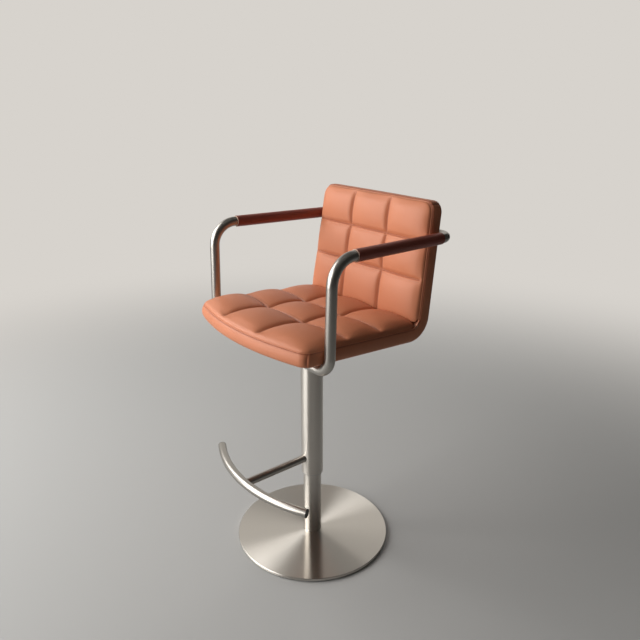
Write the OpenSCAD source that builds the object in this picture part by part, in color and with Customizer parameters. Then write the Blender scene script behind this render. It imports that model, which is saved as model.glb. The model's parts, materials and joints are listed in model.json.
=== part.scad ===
// Adjustable bar stool with arms: round base plate, gas-lift column, footrest and a tufted shell seat.
// Millimetres. +Z is up, the sitter faces -Y, and the origin is on the floor under the column's axis.
// The stored pose is the lift height that the stool stands at in use, part way up its stroke.

/* [Base] */
// Diameter of the round base plate
base_d = 430; // [380:1:480]
// Thickness of the base plate
base_t = 8; // [6:0.5:12]
// Height of the broken upper edge of the plate
base_edge = 1; // [0.5:0.1:2]
// Thickness of the pad that the plate stands on
pad_h = 3; // [2:0.5:5]
// How far the pad stays inside the edge of the plate
pad_inset = 8; // [4:1:20]
// Thread diameter of the screws that hold the column's foot
foot_screw_d = 6; // [5:1:6]
// Height of the plug in the foot of the column
foot_h = 26; // [22:1:36]

/* [Column] */
// Outer diameter of the standing column tube
column_d = 50; // [48:1:52]
// Wall of the standing column tube
column_wall = 2; // [1.5:0.25:3]
// Outer diameter of the cover tube that hangs from the seat
cover_d = 60; // [58:0.5:66]
// Wall of the cover tube
cover_wall = 1.5; // [1:0.25:2]
// Length of the cover tube
cover_l = 410; // [340:1:440]
// Height of the glide ring inside the lower end of the cover tube
glide_h = 24; // [12:1:40]
// Thickness of the glide ring's visible lip
glide_lip = 2.5; // [1.5:0.5:5]
// Length of the guide bush in the top of the column
guide_l = 90; // [60:1:120]
// Thickness of the guide bush's flange
guide_flange = 3; // [2:0.5:5]
// Outer diameter of the gas cylinder
cylinder_d = 28; // [26:0.5:30]
// Wall of the gas cylinder
cylinder_wall = 2; // [1.5:0.25:2.5]
// Diameter of the piston rod
rod_d = 10; // [8:0.5:12]
// How far the seat can sink below the stored height
lift_down = 110; // [60:1:130]
// How far the seat can rise above the stored height
lift_up = 110; // [60:1:130]

/* [Footrest] */
// Height of the footrest bar's axis above the cover tube's lower end
foot_up = 48; // [35:1:115]
// Distance from the column's axis to the middle of the bar
foot_reach = 222; // [180:1:260]
// Radius of the bar's bend
foot_bend_r = 430; // [320:5:600]
// Straight distance from one end of the bar to the other
foot_span = 400; // [300:2:440]
// Diameter of the footrest bar
foot_bar_d = 23; // [22:0.5:30]
// Diameter of the strut that carries the bar
foot_strut_d = 21; // [18:0.5:21.5]
// Wall of the bar and of the strut
foot_wall = 1.5; // [1:0.25:2.5]

/* [Seat shell] */
// Height of the shell's underside over the column, in the stored pose
seat_under_h = 637; // [600:1:660]
// Slope of the seat down towards the back, in degrees
seat_tilt = 4.3; // [0:0.1:6]
// Lean of the back against the seat's normal, in degrees
recline = 3.6; // [0:0.1:8]
// Width of the seat at its front corners
seat_front_w = 452; // [430:1:456]
// Width where the seat folds into the back
fold_w = 430; // [410:1:434]
// Width of the back at its top
back_top_w = 408; // [380:1:430]
// Distance from the column's axis to the middle of the front edge
seat_front = 234; // [215:1:250]
// Distance from the column's axis to the rear face, along the seat
seat_rear = 200; // [190:1:215]
// How far the front edge bows out at its middle
front_bow = 40; // [10:1:60]
// Corner radius of the seat in plan
seat_corner = 16; // [10:1:30]
// Height of the back along its rear face
back_h = 343; // [300:1:400]
// Radius of the back's upper corners
back_corner = 22; // [12:1:40]
// Thickness of the upholstered shell up to its seam
shell_t = 32; // [29:0.5:40]
// Outer radius of the bend between the seat and the back
shell_bend = 58; // [50:1:70]
// Thickness of the moulded plywood inside
ply_t = 12; // [9:0.5:15]
// Cover and felt between the plywood and the outside
skin_t = 3; // [2:0.5:5]
// Foam between the plywood's edge and the outside
edge_foam = 18; // [12:1:30]

/* [Cushions] */
// Number of tufted columns
tuft_cols = 3; // [2:1:4]
// Number of tufted rows
tuft_rows = 3; // [2:1:4]
// How much the tufts of the seat lengthen towards its front edge
seat_row_growth = 1.13; // [1:0.01:1.2]
// Height of the cushion's edge above the seam
pad_lip = 2; // [1:0.5:4]
// Crown of the seat cushion
seat_crown = 10; // [6:0.5:12]
// Crown of the back cushion
back_crown = 8; // [4:0.5:12]
// Height of each tuft above its sewn channels
tuft_puff = 9; // [4:0.5:14]
// How far the cushion's foot is drawn in under its edge
pad_draw = 2; // [0.5:0.5:4]

/* [Arms] */
// Diameter of the arm tube
arm_d = 25; // [22:0.5:28]
// Wall of the arm tube
arm_wall = 1.5; // [1:0.25:2.5]
// Gap between the arm posts and the widest edge of the shell
post_gap = 6.5; // [4:0.5:20]
// Gap between the side of the back and the tube that turns in behind it
rear_gap = 5.3; // [4:0.1:20]
// Distance from the column's axis to the tube's run under the seat
arm_run_front = 140; // [125:1:165]
// Height of the armrest's axis at its front corner, above the shell's underside
arm_h = 250; // [215:1:280]
// Lean of the post back towards its top, in degrees
arm_lean = 1.7; // [0:0.1:4]
// Fall of the armrest towards the back, in degrees
arm_fall = 1.15; // [0:0.1:3]
// Bend radius between the post and the run under the seat
bend_low = 38; // [30:1:46]
// Bend radius between the post and the armrest
bend_top = 60; // [45:1:75]
// Bend radius between the armrest and the run behind the back
bend_rear = 31; // [26:1:38]
// Gap between the shell's edges and the bends that pass them
edge_gap = 0.8; // [0.5:0.1:3]
// Distance from the centre to the end of the run under the seat
run_end_x = 110; // [95:1:140]
// Distance from the centre to the end of the run behind the back
rear_end_x = 110; // [90:1:140]
// Thickness of the leather sleeve on the armrest
sleeve_t = 1.9; // [1:0.1:2.5]
// Gap between the bends and the ends of the sleeve
sleeve_gap = 5; // [2:0.5:15]
// Length of each saddle along the tube
saddle_l = 46; // [36:1:60]
// Width of each saddle across the tube
saddle_w = 62; // [54:1:80]
// Thickness of each saddle's plate
saddle_t = 3; // [2.5:0.5:6]
// Thread diameter of the saddle screws
saddle_screw_d = 6; // [5:1:6]

/* [Seat mechanism] */
// Length of the seat plate, side to side
plate_l = 180; // [150:1:200]
// Width of the seat plate, front to back
plate_w = 150; // [130:1:160]
// Thickness of the seat plate
plate_t = 4; // [3:0.5:5]
// Distance between the plate's screws, side to side
plate_pitch_x = 150; // [120:1:160]
// Distance between the plate's screws, front to back
plate_pitch_y = 110; // [90:1:120]
// Thread diameter of the plate's screws
plate_screw_d = 8; // [6:1:8]
// Outer diameter of the taper socket
socket_d = 44; // [40:1:46]
// Length of the taper socket below the seat plate
socket_l = 66; // [55:1:75]
// Distance from the column's axis to the lever's pivot
pivot_x = 46; // [40:1:55]
// Diameter of the lever's pivot pin
pivot_d = 6; // [5:0.5:7]
// Distance from the column's axis to the tip of the lever
lever_reach = 190; // [160:1:205]
// Diameter of the lever's rod
lever_rod_d = 8; // [6:0.5:9]
// Diameter of the lever's grip
grip_d = 14; // [12:0.5:16]
// Length of the lever's grip
grip_l = 48; // [36:1:60]

/* [Hidden] */

// Clearances: a running fit, a fixed fit and plain air.
run_fit = 0.05;
fix_fit = 0.03;
air = 0.3;
steel = "#b9b3a8";
dark_steel = "#3a3a3c";
zinc = "#c4c8cc";
plastic = "#1d1d1f";
leather = "#c06f4c";
dark_leather = "#5a241d";
wood = "#c8a36a";
nylon = "#d8d4c6";
round_fn = 96;

// Heights, from the floor up.
base_top = pad_h + base_t;
foot_top = base_top + foot_h;
column_r = column_d / 2;
column_in = column_r - column_wall;
cover_r = cover_d / 2;
cover_in = cover_r - cover_wall;
rod_r = rod_d / 2;
cylinder_r = cylinder_d / 2;
cylinder_in = cylinder_r - cylinder_wall;
plate_under = seat_under_h - plate_t;
socket_bottom = plate_under - socket_l;
socket_room = 5;
column_top = socket_bottom - lift_down - socket_room - guide_flange;

// Thrust bearing, clip and buffer on the piston rod.
clip_room_h = 9;
clip_room_r = 13;
clip_t = 1.2;
clip_r = 9;
clip_groove_r = rod_r - 1;
clip_top = base_top + clip_room_h - air;
rod_foot_room = 2.5;
rod_bottom = base_top + rod_foot_room;
race_t = 2;
ball_r = 2;
ball_n = 9;
race_gap = 0.6;
race_w = 6.9;
race_in = rod_r + race_gap;
race_out = race_in + race_w;
ball_ring_r = (race_in + race_out) / 2;
race_2_bottom = foot_top + race_t + 2 * ball_r + air;
rod_collar_h = 4;
rod_collar_w = 5;
rod_collar_bottom = race_2_bottom + race_t;
buffer_h = 12;
buffer_w = 8;
buffer_bottom = rod_collar_bottom + rod_collar_h;
buffer_top = buffer_bottom + buffer_h;

// Gas cylinder: it clears the buffer at the lowest height, and the piston its seal at the highest.
lowest_room = 4;
cylinder_bottom = buffer_top + lift_down + lowest_room;
pin_under_lever = 0.35;
lever_blade_t = 4;
lever_blade_w = 12;
blade_drop = 10;
blade_bottom = plate_under - blade_drop;
pin_top = blade_bottom - pin_under_lever;
pin_out = 6;
cylinder_top = pin_top - pin_out;
seal_h = 18;
valve_h = 30;
piston_t = 14;
highest_room = 12;
piston_bottom = cylinder_bottom + lift_up + seal_h + highest_room;
piston_top = piston_bottom + piston_t;
taper_in = 1.1;
taper_end_r = cylinder_r - taper_in;
pin_r = 4;
pin_press = 3;
pin_in = 17;
pin_room = 1;
pin_chamfer = 1.5;

// Cover tube: its top ends below the lever.
cover_drop = 18;
cover_top = plate_under - cover_drop;
cover_bottom = cover_top - cover_l;
collar_h = 10;

// Footrest: the bar is one arc whose middle is straight in front of the column.
foot_z = cover_bottom + foot_up;
foot_centre_y = foot_bend_r - foot_reach;
foot_half_angle = asin(foot_span / 2 / foot_bend_r);
foot_bar_r = foot_bar_d / 2;
bar_plug_lip = 1;
bar_plug_in = 6;

// Shell: the bend's centre is the same for every layer.
bend_tangent = shell_bend * (1 - sin(recline)) / cos(recline);
shell_lean = seat_tilt + recline;
seat_flat_y = seat_rear - bend_tangent;
seat_flat_l = seat_flat_y + seat_front;
back_flat_l = back_h - bend_tangent;
inner_bend = shell_bend - shell_t;
pad_gap = 1;

// Arms: points where the straight runs of the tube would meet.
arm_r = arm_d / 2;
sleeve_r = arm_r + sleeve_t;
post_x = max(seat_front_w, fold_w, back_top_w) / 2 + post_gap + arm_r;
arm_top_z = seat_under_h + arm_h;
seat_edge_x = (fold_w + (seat_front_w - fold_w) * (arm_run_front + seat_flat_y) / seat_flat_l) / 2;
seat_drop = run_drop(bend_low, post_x - seat_edge_x);
back_drop = run_drop(bend_rear, rear_gap + arm_r);
run_pt = in_seat([0, -arm_run_front, -seat_drop]);
arm_top_y = run_pt[1] + (arm_top_z - run_pt[2]) * tan(arm_lean);
arm_rear_s = (arm_h + seat_rear * sin(seat_tilt) + back_drop * sin(shell_lean)
    - tan(arm_fall) * (seat_rear * cos(seat_tilt) + back_drop * cos(shell_lean) - arm_top_y))
    / (cos(shell_lean) + tan(arm_fall) * sin(shell_lean));
rear_pt = in_seat(in_back([0, back_drop, arm_rear_s]));
rear_back_w = fold_w + (back_top_w - fold_w) * (arm_rear_s - bend_tangent) / back_flat_l;
rear_x = rear_back_w / 2 + rear_gap + arm_r;
arm_path = [
    [run_end_x, run_pt[1], run_pt[2]],
    [post_x, run_pt[1], run_pt[2]],
    [post_x, arm_top_y, arm_top_z],
    [rear_x, rear_pt[1], rear_pt[2]],
    [rear_end_x, rear_pt[1], rear_pt[2]]
];
arm_bends = [0, bend_low, bend_top, bend_rear, 0];
plug_lip = 2;
plug_in = 12;
saddle_screw_in = 9;
saddle_pitch = saddle_w - 2 * saddle_screw_in;
saddle_end = 4;
cradle_in = 3;
saddle_seat_x = run_end_x + saddle_l / 2 + saddle_end;
saddle_back_x = rear_end_x + saddle_l / 2 + saddle_end;
insert_wall = 1.2;
screw_head_t = 4;

// Screws of the column's foot: they stand between the clip's room and the tube.
foot_screw_ring = (clip_room_r + column_in) / 2;
foot_screw_l = base_t + foot_h * 0.55;
foot_screw_head_r = foot_screw_d;
foot_screw_head_h = foot_screw_d / 2;
hex_deep = 2;

// Lever: its rod slopes down from the pivot to the grip.
pivot_drop = 2;
pivot_eye_wall = 4;
rod_past_pivot = 3;
grip_drop = 30;
pivot_z = blade_bottom - pivot_drop;
pivot_eye_r = pivot_d / 2 + pivot_eye_wall;
bracket_wall = 3;
bracket_gap = lever_blade_w / 2 + air;
lever_root = [-pivot_x - rod_past_pivot, 0, pivot_z];
lever_tip = [-lever_reach, 0, plate_under - grip_drop];
lever_way = unit(lever_tip - lever_root);
grip_cap = 4;
pin_head_h = 2;
plate_rim_h = 8;
slot_room = 4;

// Hair-thin bands that close the joints between a bent tube's runs and bends.
band_h = 0.02;
band_l = 0.6;
band_seat = 0.1;

// Cushions: steps from one sewn channel to the next, and how far a pad stays inside the border.
cell_steps = 7;
pad_inset_w = 0.5;

// How far a cutting block reaches past what it cuts.
cut_past = 60;

// Places of a point given in the seat's frame or the back's frame.
function in_seat(p) = [
    p[0],
    p[1] * cos(seat_tilt) + p[2] * sin(seat_tilt),
    seat_under_h - p[1] * sin(seat_tilt) + p[2] * cos(seat_tilt)
];
function in_back(p) = [
    p[0],
    seat_rear + p[1] * cos(recline) + p[2] * sin(recline),
    -p[1] * sin(recline) + p[2] * cos(recline)
];
function unit(v) = v / norm(v);

// How far a run's axis lies outside the shell, so that its bend clears the shell's edge, which is
// beside mm inside the axis of the tube that the bend starts from.
function run_drop(bend, beside) =
    let (inner = bend - arm_r - edge_gap, across = max(0, bend - beside))
    max(saddle_t + arm_r, bend - sqrt(max(0, inner * inner - across * across)));

// The seat's frame: its floor is the shell's underside, and it is tilted down towards the back.
module seat_frame() {
    translate([0, 0, seat_under_h]) rotate([-seat_tilt, 0, 0]) children();
}

// The back's frame: its Y is square to the rear face, and its Z runs up along it.
module back_frame() {
    seat_frame() translate([0, seat_rear, 0]) rotate([-recline, 0, 0]) children();
}

// A ring: a cylinder with a bore.
module ring(r_out, r_in, h) {
    difference() {
        cylinder(h = h, r = r_out, $fn = round_fn);
        translate([0, 0, -1]) cylinder(h = h + 2, r = r_in, $fn = round_fn);
    }
}

// Places children with their Z axis along the way from a to b.
module along(a, b) {
    z = unit(b - a);
    x = unit(abs(z[0]) < 0.9 ? cross([1, 0, 0], z) : cross([0, 1, 0], z));
    y = cross(z, x);
    multmatrix([
        [x[0], y[0], z[0], a[0]],
        [x[1], y[1], z[1], a[1]],
        [x[2], y[2], z[2], a[2]],
        [0, 0, 0, 1]
    ]) children();
}

// How far a bend's tangent point lies from the corner, at point i of a path.
function setback(path, bends, i) =
    bends[i] == 0 ? 0 : bends[i] * tan(turn_at(path, i) / 2);
function way_from(path, i) = unit(path[i + 1] - path[i]);
function turn_at(path, i) = acos(way_from(path, i - 1) * way_from(path, i));
function turn_axis(path, i) = unit(cross(way_from(path, i - 1), way_from(path, i)));

// How far the plane of the bend at point i is rolled from that of the bend before it.
function roll_at(path, i) =
    let (before = turn_axis(path, i - 1), after = turn_axis(path, i))
    atan2(cross(before, after) * way_from(path, i - 1), before * after);
function run_at(path, bends, i) =
    norm(path[i + 1] - path[i]) - setback(path, bends, i) - setback(path, bends, i + 1);

// A bent tube that follows a path of corner points. Each run starts where the bend before it ends, and
// a hair-thin band closes the joint between a run and a bend.
module bent_tube(path, bends, r_out, r_in) {
    z = way_from(path, 0);
    y = turn_axis(path, 1);
    x = cross(y, z);
    multmatrix([
        [x[0], y[0], z[0], path[0][0]],
        [x[1], y[1], z[1], path[0][1]],
        [x[2], y[2], z[2], path[0][2]],
        [0, 0, 0, 1]
    ]) tube_from(path, bends, r_out, r_in, 0);
}

module tube_wall(from, to, r_out, r_in) {
    rotate_extrude($fn = round_fn) translate([r_in, from]) square([r_out - r_in, to - from]);
}

module tube_from(path, bends, r_out, r_in, i) {
    run_l = run_at(path, bends, i);
    more = i < len(path) - 2;
    tube_wall(i == 0 ? 0 : band_seat, run_l - (more ? band_seat : 0), r_out, r_in);
    if (i > 0) tube_wall(-band_l / 2, band_l / 2, r_out + band_h, r_in - band_h);
    if (more) {
        turn = turn_at(path, i + 1);
        bend_r = bends[i + 1];
        tube_wall(run_l - band_l / 2, run_l + band_l / 2, r_out + band_h, r_in - band_h);
        roll = i == 0 ? 0 : roll_at(path, i + 1);
        translate([0, 0, run_l]) rotate([0, 0, roll]) translate([bend_r, 0, 0]) {
            rotate([90, 0, 180]) rotate_extrude(angle = turn, $fn = round_fn) translate([bend_r, 0])
                difference() {
                    circle(r = r_out, $fn = 48);
                    circle(r = r_in, $fn = 48);
                }
            rotate([0, turn, 0]) translate([-bend_r, 0, 0]) tube_from(path, bends, r_out, r_in, i + 1);
        }
    }
}

// Base

module base_plate() {
    plate_r = base_d / 2;
    sink_r = foot_screw_head_r + air;
    sink_h = foot_screw_head_h + air;
    color(steel) difference() {
        translate([0, 0, pad_h]) rotate_extrude($fn = 180) polygon([
            [0, 0],
            [plate_r - base_edge, 0],
            [plate_r, base_edge],
            [plate_r, base_t - base_edge],
            [plate_r - base_edge, base_t],
            [0, base_t]
        ]);
        foot_screw_places() {
            translate([0, 0, -1]) cylinder(h = base_t + 2, r = foot_screw_d / 2 + air, $fn = 32);
            cylinder(h = sink_h, r1 = sink_r, r2 = sink_r - sink_h, $fn = 48);
        }
    }
}

module base_pad() {
    color(plastic) cylinder(h = pad_h, r = base_d / 2 - pad_inset, $fn = 180);
}

module foot_screw_places() {
    for (i = [0 : 2]) rotate([0, 0, 30 + 120 * i]) translate([foot_screw_ring, 0, pad_h]) children();
}

module base_screws() {
    color(zinc) foot_screw_places() difference() {
        union() {
            cylinder(h = foot_screw_l, r = foot_screw_d / 2, $fn = 32);
            cylinder(h = foot_screw_head_h, r1 = foot_screw_head_r, r2 = foot_screw_d / 2, $fn = 48);
        }
        translate([0, 0, -1]) cylinder(h = 1 + hex_deep, r = foot_screw_d / 3, $fn = 6);
    }
}

// Column

module column_tube() {
    color(steel) translate([0, 0, base_top]) ring(column_r, column_in, column_top - base_top);
}

module column_foot() {
    color(zinc) difference() {
        translate([0, 0, base_top]) cylinder(h = foot_h, r = column_in - fix_fit, $fn = round_fn);
        translate([0, 0, base_top - 1]) cylinder(h = foot_h + 2, r = rod_r + run_fit, $fn = round_fn);
        translate([0, 0, base_top - 1]) cylinder(h = clip_room_h + 1, r = clip_room_r, $fn = round_fn);
        foot_screw_places() cylinder(h = foot_screw_l + 1, r = foot_screw_d / 2 + fix_fit, $fn = 32);
    }
}

module guide_bush() {
    bush_r = column_in - fix_fit;
    bore_r = cylinder_r + run_fit;
    color(plastic) translate([0, 0, column_top]) {
        ring(column_r - 0.5, bore_r, guide_flange);
        translate([0, 0, -guide_l]) ring(bush_r, bore_r, guide_l);
    }
}

module bearing_lower_race() {
    color(zinc) translate([0, 0, foot_top]) ring(race_out, race_in, race_t);
}

module bearing_balls() {
    cage_t = 1.6;
    mid = foot_top + race_t + ball_r;
    color(zinc) {
        difference() {
            translate([0, 0, mid - cage_t / 2]) ring(race_out, race_in, cage_t);
            ball_places(mid - ball_r) cylinder(h = 2 * ball_r, r = ball_r + 0.1, $fn = 32);
        }
        ball_places(mid) sphere(r = ball_r, $fn = 32);
    }
}

module ball_places(z) {
    for (i = [1 : ball_n]) rotate([0, 0, 360 * i / ball_n]) translate([ball_ring_r, 0, z]) children();
}

module bearing_upper_race() {
    color(zinc) translate([0, 0, race_2_bottom]) ring(race_out, race_in, race_t);
}

module piston_rod() {
    color("#e4e6e8") rotate_extrude($fn = round_fn) polygon([
        [0, rod_bottom],
        [rod_r, rod_bottom],
        [rod_r, clip_top - clip_t],
        [clip_groove_r, clip_top - clip_t],
        [clip_groove_r, clip_top],
        [rod_r, clip_top],
        [rod_r, rod_collar_bottom],
        [rod_r + rod_collar_w, rod_collar_bottom],
        [rod_r + rod_collar_w, buffer_bottom],
        [rod_r, buffer_bottom],
        [rod_r, piston_top],
        [0, piston_top]
    ]);
}

module rod_clip() {
    color(zinc) translate([0, 0, clip_top - clip_t]) difference() {
        ring(clip_r, clip_groove_r + fix_fit, clip_t);
        translate([-clip_groove_r * 0.8, 0, -1]) cube([clip_groove_r * 1.6, clip_r + 1, clip_t + 2]);
    }
}

module rod_buffer() {
    color(plastic) translate([0, 0, buffer_bottom]) ring(rod_r + buffer_w, rod_r + fix_fit, buffer_h);
}

module piston() {
    color(plastic) translate([0, 0, piston_bottom]) difference() {
        cylinder(h = piston_t, r = cylinder_in - run_fit, $fn = round_fn);
        translate([0, 0, -1]) cylinder(h = piston_t + 2, r = rod_r + fix_fit, $fn = round_fn);
        translate([0, 0, piston_t / 2 - 2]) ring(cylinder_in, cylinder_in - 2, 4);
    }
}

module gas_cylinder() {
    color("#2b2b2e") rotate_extrude($fn = round_fn) polygon([
        [cylinder_in, cylinder_bottom],
        [cylinder_r, cylinder_bottom],
        [cylinder_r, socket_bottom],
        [taper_end_r, cylinder_top],
        [taper_end_r - cylinder_wall, cylinder_top],
        [taper_end_r - cylinder_wall, cylinder_top - valve_h],
        [cylinder_in, cylinder_top - valve_h],
        [cylinder_in, cylinder_bottom]
    ]);
}

module cylinder_seal() {
    color(plastic) translate([0, 0, cylinder_bottom])
        ring(cylinder_in - fix_fit, rod_r + run_fit, seal_h);
}

module valve_body() {
    body_h = valve_h - 1;
    bore_h = pin_in + pin_press + pin_room;
    color(nylon) translate([0, 0, cylinder_top - body_h]) difference() {
        cylinder(h = body_h, r = taper_end_r - cylinder_wall - fix_fit, $fn = round_fn);
        translate([0, 0, body_h - bore_h]) cylinder(h = bore_h + 1, r = pin_r + run_fit, $fn = 48);
    }
}

module release_pin() {
    pin_l = pin_out + pin_in;
    color("#e4e6e8") translate([0, 0, pin_top - pin_l]) {
        cylinder(h = pin_l - pin_chamfer, r = pin_r, $fn = 48);
        translate([0, 0, pin_l - pin_chamfer])
            cylinder(h = pin_chamfer, r1 = pin_r, r2 = pin_r - pin_chamfer, $fn = 48);
    }
}

// Cover tube

module cover_tube() {
    color(steel) translate([0, 0, cover_bottom]) ring(cover_r, cover_in, cover_l);
}

module cover_glide() {
    bore_r = column_r + run_fit;
    color("#8d8d8b") {
        translate([0, 0, cover_bottom - glide_lip]) ring(cover_r - 0.8, bore_r, glide_lip);
        translate([0, 0, cover_bottom]) ring(cover_in - fix_fit, bore_r, glide_h);
    }
}

module cover_collar() {
    color(dark_steel) translate([0, 0, cover_top - collar_h])
        ring(cover_in - fix_fit, socket_d / 2 + fix_fit, collar_h);
}

// Footrest

module foot_arc(r_out, r_in) {
    translate([0, foot_centre_y, foot_z]) rotate([0, 0, -90 - foot_half_angle])
        rotate_extrude(angle = 2 * foot_half_angle, $fn = 180) translate([foot_bend_r, 0]) difference() {
            circle(r = r_out, $fn = 48);
            if (r_in > 0) circle(r = r_in, $fn = 48);
        }
}

module foot_bar() {
    color(steel) foot_arc(foot_bar_r, foot_bar_r - foot_wall);
}

module foot_strut() {
    color(steel) difference() {
        translate([0, 0, foot_z]) rotate([90, 0, 0]) rotate_extrude($fn = round_fn)
            translate([foot_strut_d / 2 - foot_wall, 0]) square([foot_wall, foot_reach]);
        translate([0, 0, foot_z - foot_strut_d])
            cylinder(h = 2 * foot_strut_d, r = cover_r, $fn = round_fn);
        foot_arc(foot_bar_r, 0);
    }
}

module foot_bar_plugs() {
    color(plastic) for (side = [-1, 1])
        translate([0, foot_centre_y, foot_z]) rotate([0, 0, -90 + side * foot_half_angle])
            translate([foot_bend_r, 0, 0]) rotate([-90 * side, 0, 0]) {
                cylinder(h = bar_plug_lip, r = foot_bar_r, $fn = 48);
                translate([0, 0, -bar_plug_in])
                    cylinder(h = bar_plug_in, r = foot_bar_r - foot_wall - air, $fn = 48);
            }
}

// Seat mechanism

module plate_screw_places() {
    for (sx = [-1, 1], sy = [-1, 1])
        translate([sx * plate_pitch_x / 2, sy * plate_pitch_y / 2, 0]) children();
}

module seat_plate() {
    color(dark_steel) seat_frame() difference() {
        translate([-plate_l / 2, -plate_w / 2, -plate_t]) cube([plate_l, plate_w, plate_t]);
        translate([0, 0, -plate_t - 1]) cylinder(h = plate_t + 2, r = socket_d / 4, $fn = 48);
        plate_screw_places() translate([0, 0, -plate_t - 1])
            cylinder(h = plate_t + 2, r = plate_screw_d / 2 + air, $fn = 32);
    }
    color(dark_steel) seat_frame() for (side = [-1, 1])
        translate([-plate_l / 2, side * plate_w / 2 - (side + 1) / 2 * plate_t, -plate_t - plate_rim_h])
            cube([plate_l, plate_t, plate_rim_h]);
}

module seat_plate_screws() {
    shank_l = plate_t + skin_t + ply_t;
    color(zinc) seat_frame() plate_screw_places() {
        translate([0, 0, -plate_t]) cylinder(h = shank_l, r = plate_screw_d / 2, $fn = 32);
        translate([0, 0, -plate_t - plate_screw_d * 0.65])
            cylinder(h = plate_screw_d * 0.65, r = plate_screw_d * 0.9, $fn = 6);
    }
}

module below_plate() {
    difference() {
        children();
        seat_frame() translate([-plate_l, -plate_w, -plate_t]) cube([2 * plate_l, 2 * plate_w, cut_past]);
    }
}

module taper_socket() {
    taper_rate = (cylinder_r - taper_end_r) / (cylinder_top - socket_bottom);
    bore_top = cylinder_top + 2;
    color(dark_steel) below_plate() difference() {
        translate([0, 0, socket_bottom]) cylinder(h = socket_l + 10, r = socket_d / 2, $fn = round_fn);
        translate([0, 0, socket_bottom]) rotate_extrude($fn = round_fn) polygon([
            [0, -1],
            [cylinder_r + fix_fit + taper_rate, -1],
            [cylinder_r + fix_fit - taper_rate * (bore_top - socket_bottom), bore_top - socket_bottom],
            [cylinder_r - 2, bore_top - socket_bottom],
            [cylinder_r - 2, socket_l + 12],
            [0, socket_l + 12]
        ]);
        translate([-socket_d, -lever_blade_w / 2 - 1, blade_bottom - pin_press - slot_room])
            cube([socket_d, lever_blade_w + 2, cut_past]);
    }
}

// Places children on the lever's pivot, with their Z axis across it from one side, half a length out.
module across_pivot(l) {
    translate([-pivot_x, l / 2, pivot_z]) rotate([90, 0, 0]) children();
}

module lever_bracket() {
    wall_w = 2 * pivot_eye_r;
    ear_y = bracket_gap + bracket_wall / 2;
    color(dark_steel) below_plate() difference() {
        for (side = [-1, 1])
            translate([-pivot_x - wall_w / 2, ear_y * side - bracket_wall / 2, pivot_z - pivot_eye_r])
                cube([wall_w, bracket_wall, cut_past]);
        across_pivot(2 * cut_past) cylinder(h = 2 * cut_past, r = pivot_d / 2 + fix_fit, $fn = 48);
    }
}

module lever_pin() {
    pin_l = 2 * (bracket_gap + bracket_wall + air);
    color(zinc) {
        across_pivot(pin_l) cylinder(h = pin_l, r = pivot_d / 2, $fn = 48);
        across_pivot(pin_l + 2 * pin_head_h) cylinder(h = pin_head_h, r = pivot_d / 2 + 2, $fn = 48);
        across_pivot(-pin_l) cylinder(h = pin_head_h, r = pivot_d / 2 + 2, $fn = 48);
    }
}

module release_lever() {
    color(dark_steel) difference() {
        union() {
            translate([-pivot_x, -lever_blade_w / 2, blade_bottom])
                cube([pivot_x + pin_r + 1, lever_blade_w, lever_blade_t]);
            across_pivot(lever_blade_w) cylinder(h = lever_blade_w, r = pivot_eye_r, $fn = 48);
            along(lever_root, lever_tip)
                cylinder(h = norm(lever_tip - lever_root) - grip_cap, r = lever_rod_d / 2, $fn = 48);
        }
        across_pivot(2 * cut_past) cylinder(h = 2 * cut_past, r = pivot_d / 2 + run_fit, $fn = 48);
    }
}

module lever_grip() {
    color(plastic) along(lever_tip - lever_way * grip_l, lever_tip) difference() {
        rotate_extrude($fn = 64) polygon(concat(
            [[0, 0], [grip_d / 2 - 2, 0], [grip_d / 2, 3], [grip_d / 2, grip_l - grip_d / 2]],
            [for (a = [15 : 15 : 90]) [grip_d / 2 * cos(a), grip_l - grip_d / 2 + grip_d / 2 * sin(a)]]
        ));
        translate([0, 0, -1])
            cylinder(h = grip_l - grip_cap + 1 + air, r = lever_rod_d / 2 + fix_fit, $fn = 48);
    }
}

// Arms

module arm_tube_left() {
    color(steel) bent_tube(arm_path, arm_bends, arm_r, arm_r - arm_wall);
}

module arm_tube_right() {
    mirror([1, 0, 0]) arm_tube_left();
}

module arm_sleeve_left() {
    way = way_from(arm_path, 2);
    front = arm_path[2] + way * (setback(arm_path, arm_bends, 2) + sleeve_gap);
    rear = arm_path[3] - way * (setback(arm_path, arm_bends, 3) + sleeve_gap);
    color(dark_leather) along(front, rear) ring(sleeve_r, arm_r + fix_fit, norm(rear - front));
}

module arm_sleeve_right() {
    mirror([1, 0, 0]) arm_sleeve_left();
}

module tube_plug(tip, inward) {
    along(tip, inward) {
        translate([0, 0, -plug_lip]) cylinder(h = plug_lip, r = arm_r, $fn = 48);
        cylinder(h = plug_in, r = arm_r - arm_wall - fix_fit, $fn = 48);
    }
}

module arm_tube_plugs() {
    color(plastic) for (side = [0, 1]) mirror([side, 0, 0]) {
        tube_plug(arm_path[0], arm_path[1]);
        tube_plug(arm_path[4], arm_path[3]);
    }
}

// A welded saddle: a plate with screw holes, and a cradle along the tube, whose axis lies drop below the
// plate's top.
module saddle(drop) {
    cradle_w = arm_d - cradle_in;
    difference() {
        union() {
            translate([-saddle_l / 2, -saddle_w / 2, -saddle_t]) cube([saddle_l, saddle_w, saddle_t]);
            translate([-saddle_l / 2, -cradle_w / 2, -drop]) cube([saddle_l, cradle_w, drop - saddle_t / 2]);
        }
        translate([-saddle_l, 0, -drop]) rotate([0, 90, 0])
            cylinder(h = 2 * saddle_l, r = arm_r + fix_fit, $fn = round_fn);
        for (side = [-1, 1]) translate([0, side * saddle_pitch / 2, -saddle_t - 1])
            cylinder(h = saddle_t + 2, r = saddle_screw_d / 2 + air, $fn = 32);
    }
}

module seat_saddle_places() {
    seat_frame() for (side = [-1, 1]) translate([side * saddle_seat_x, -arm_run_front, 0]) children();
}

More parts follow.
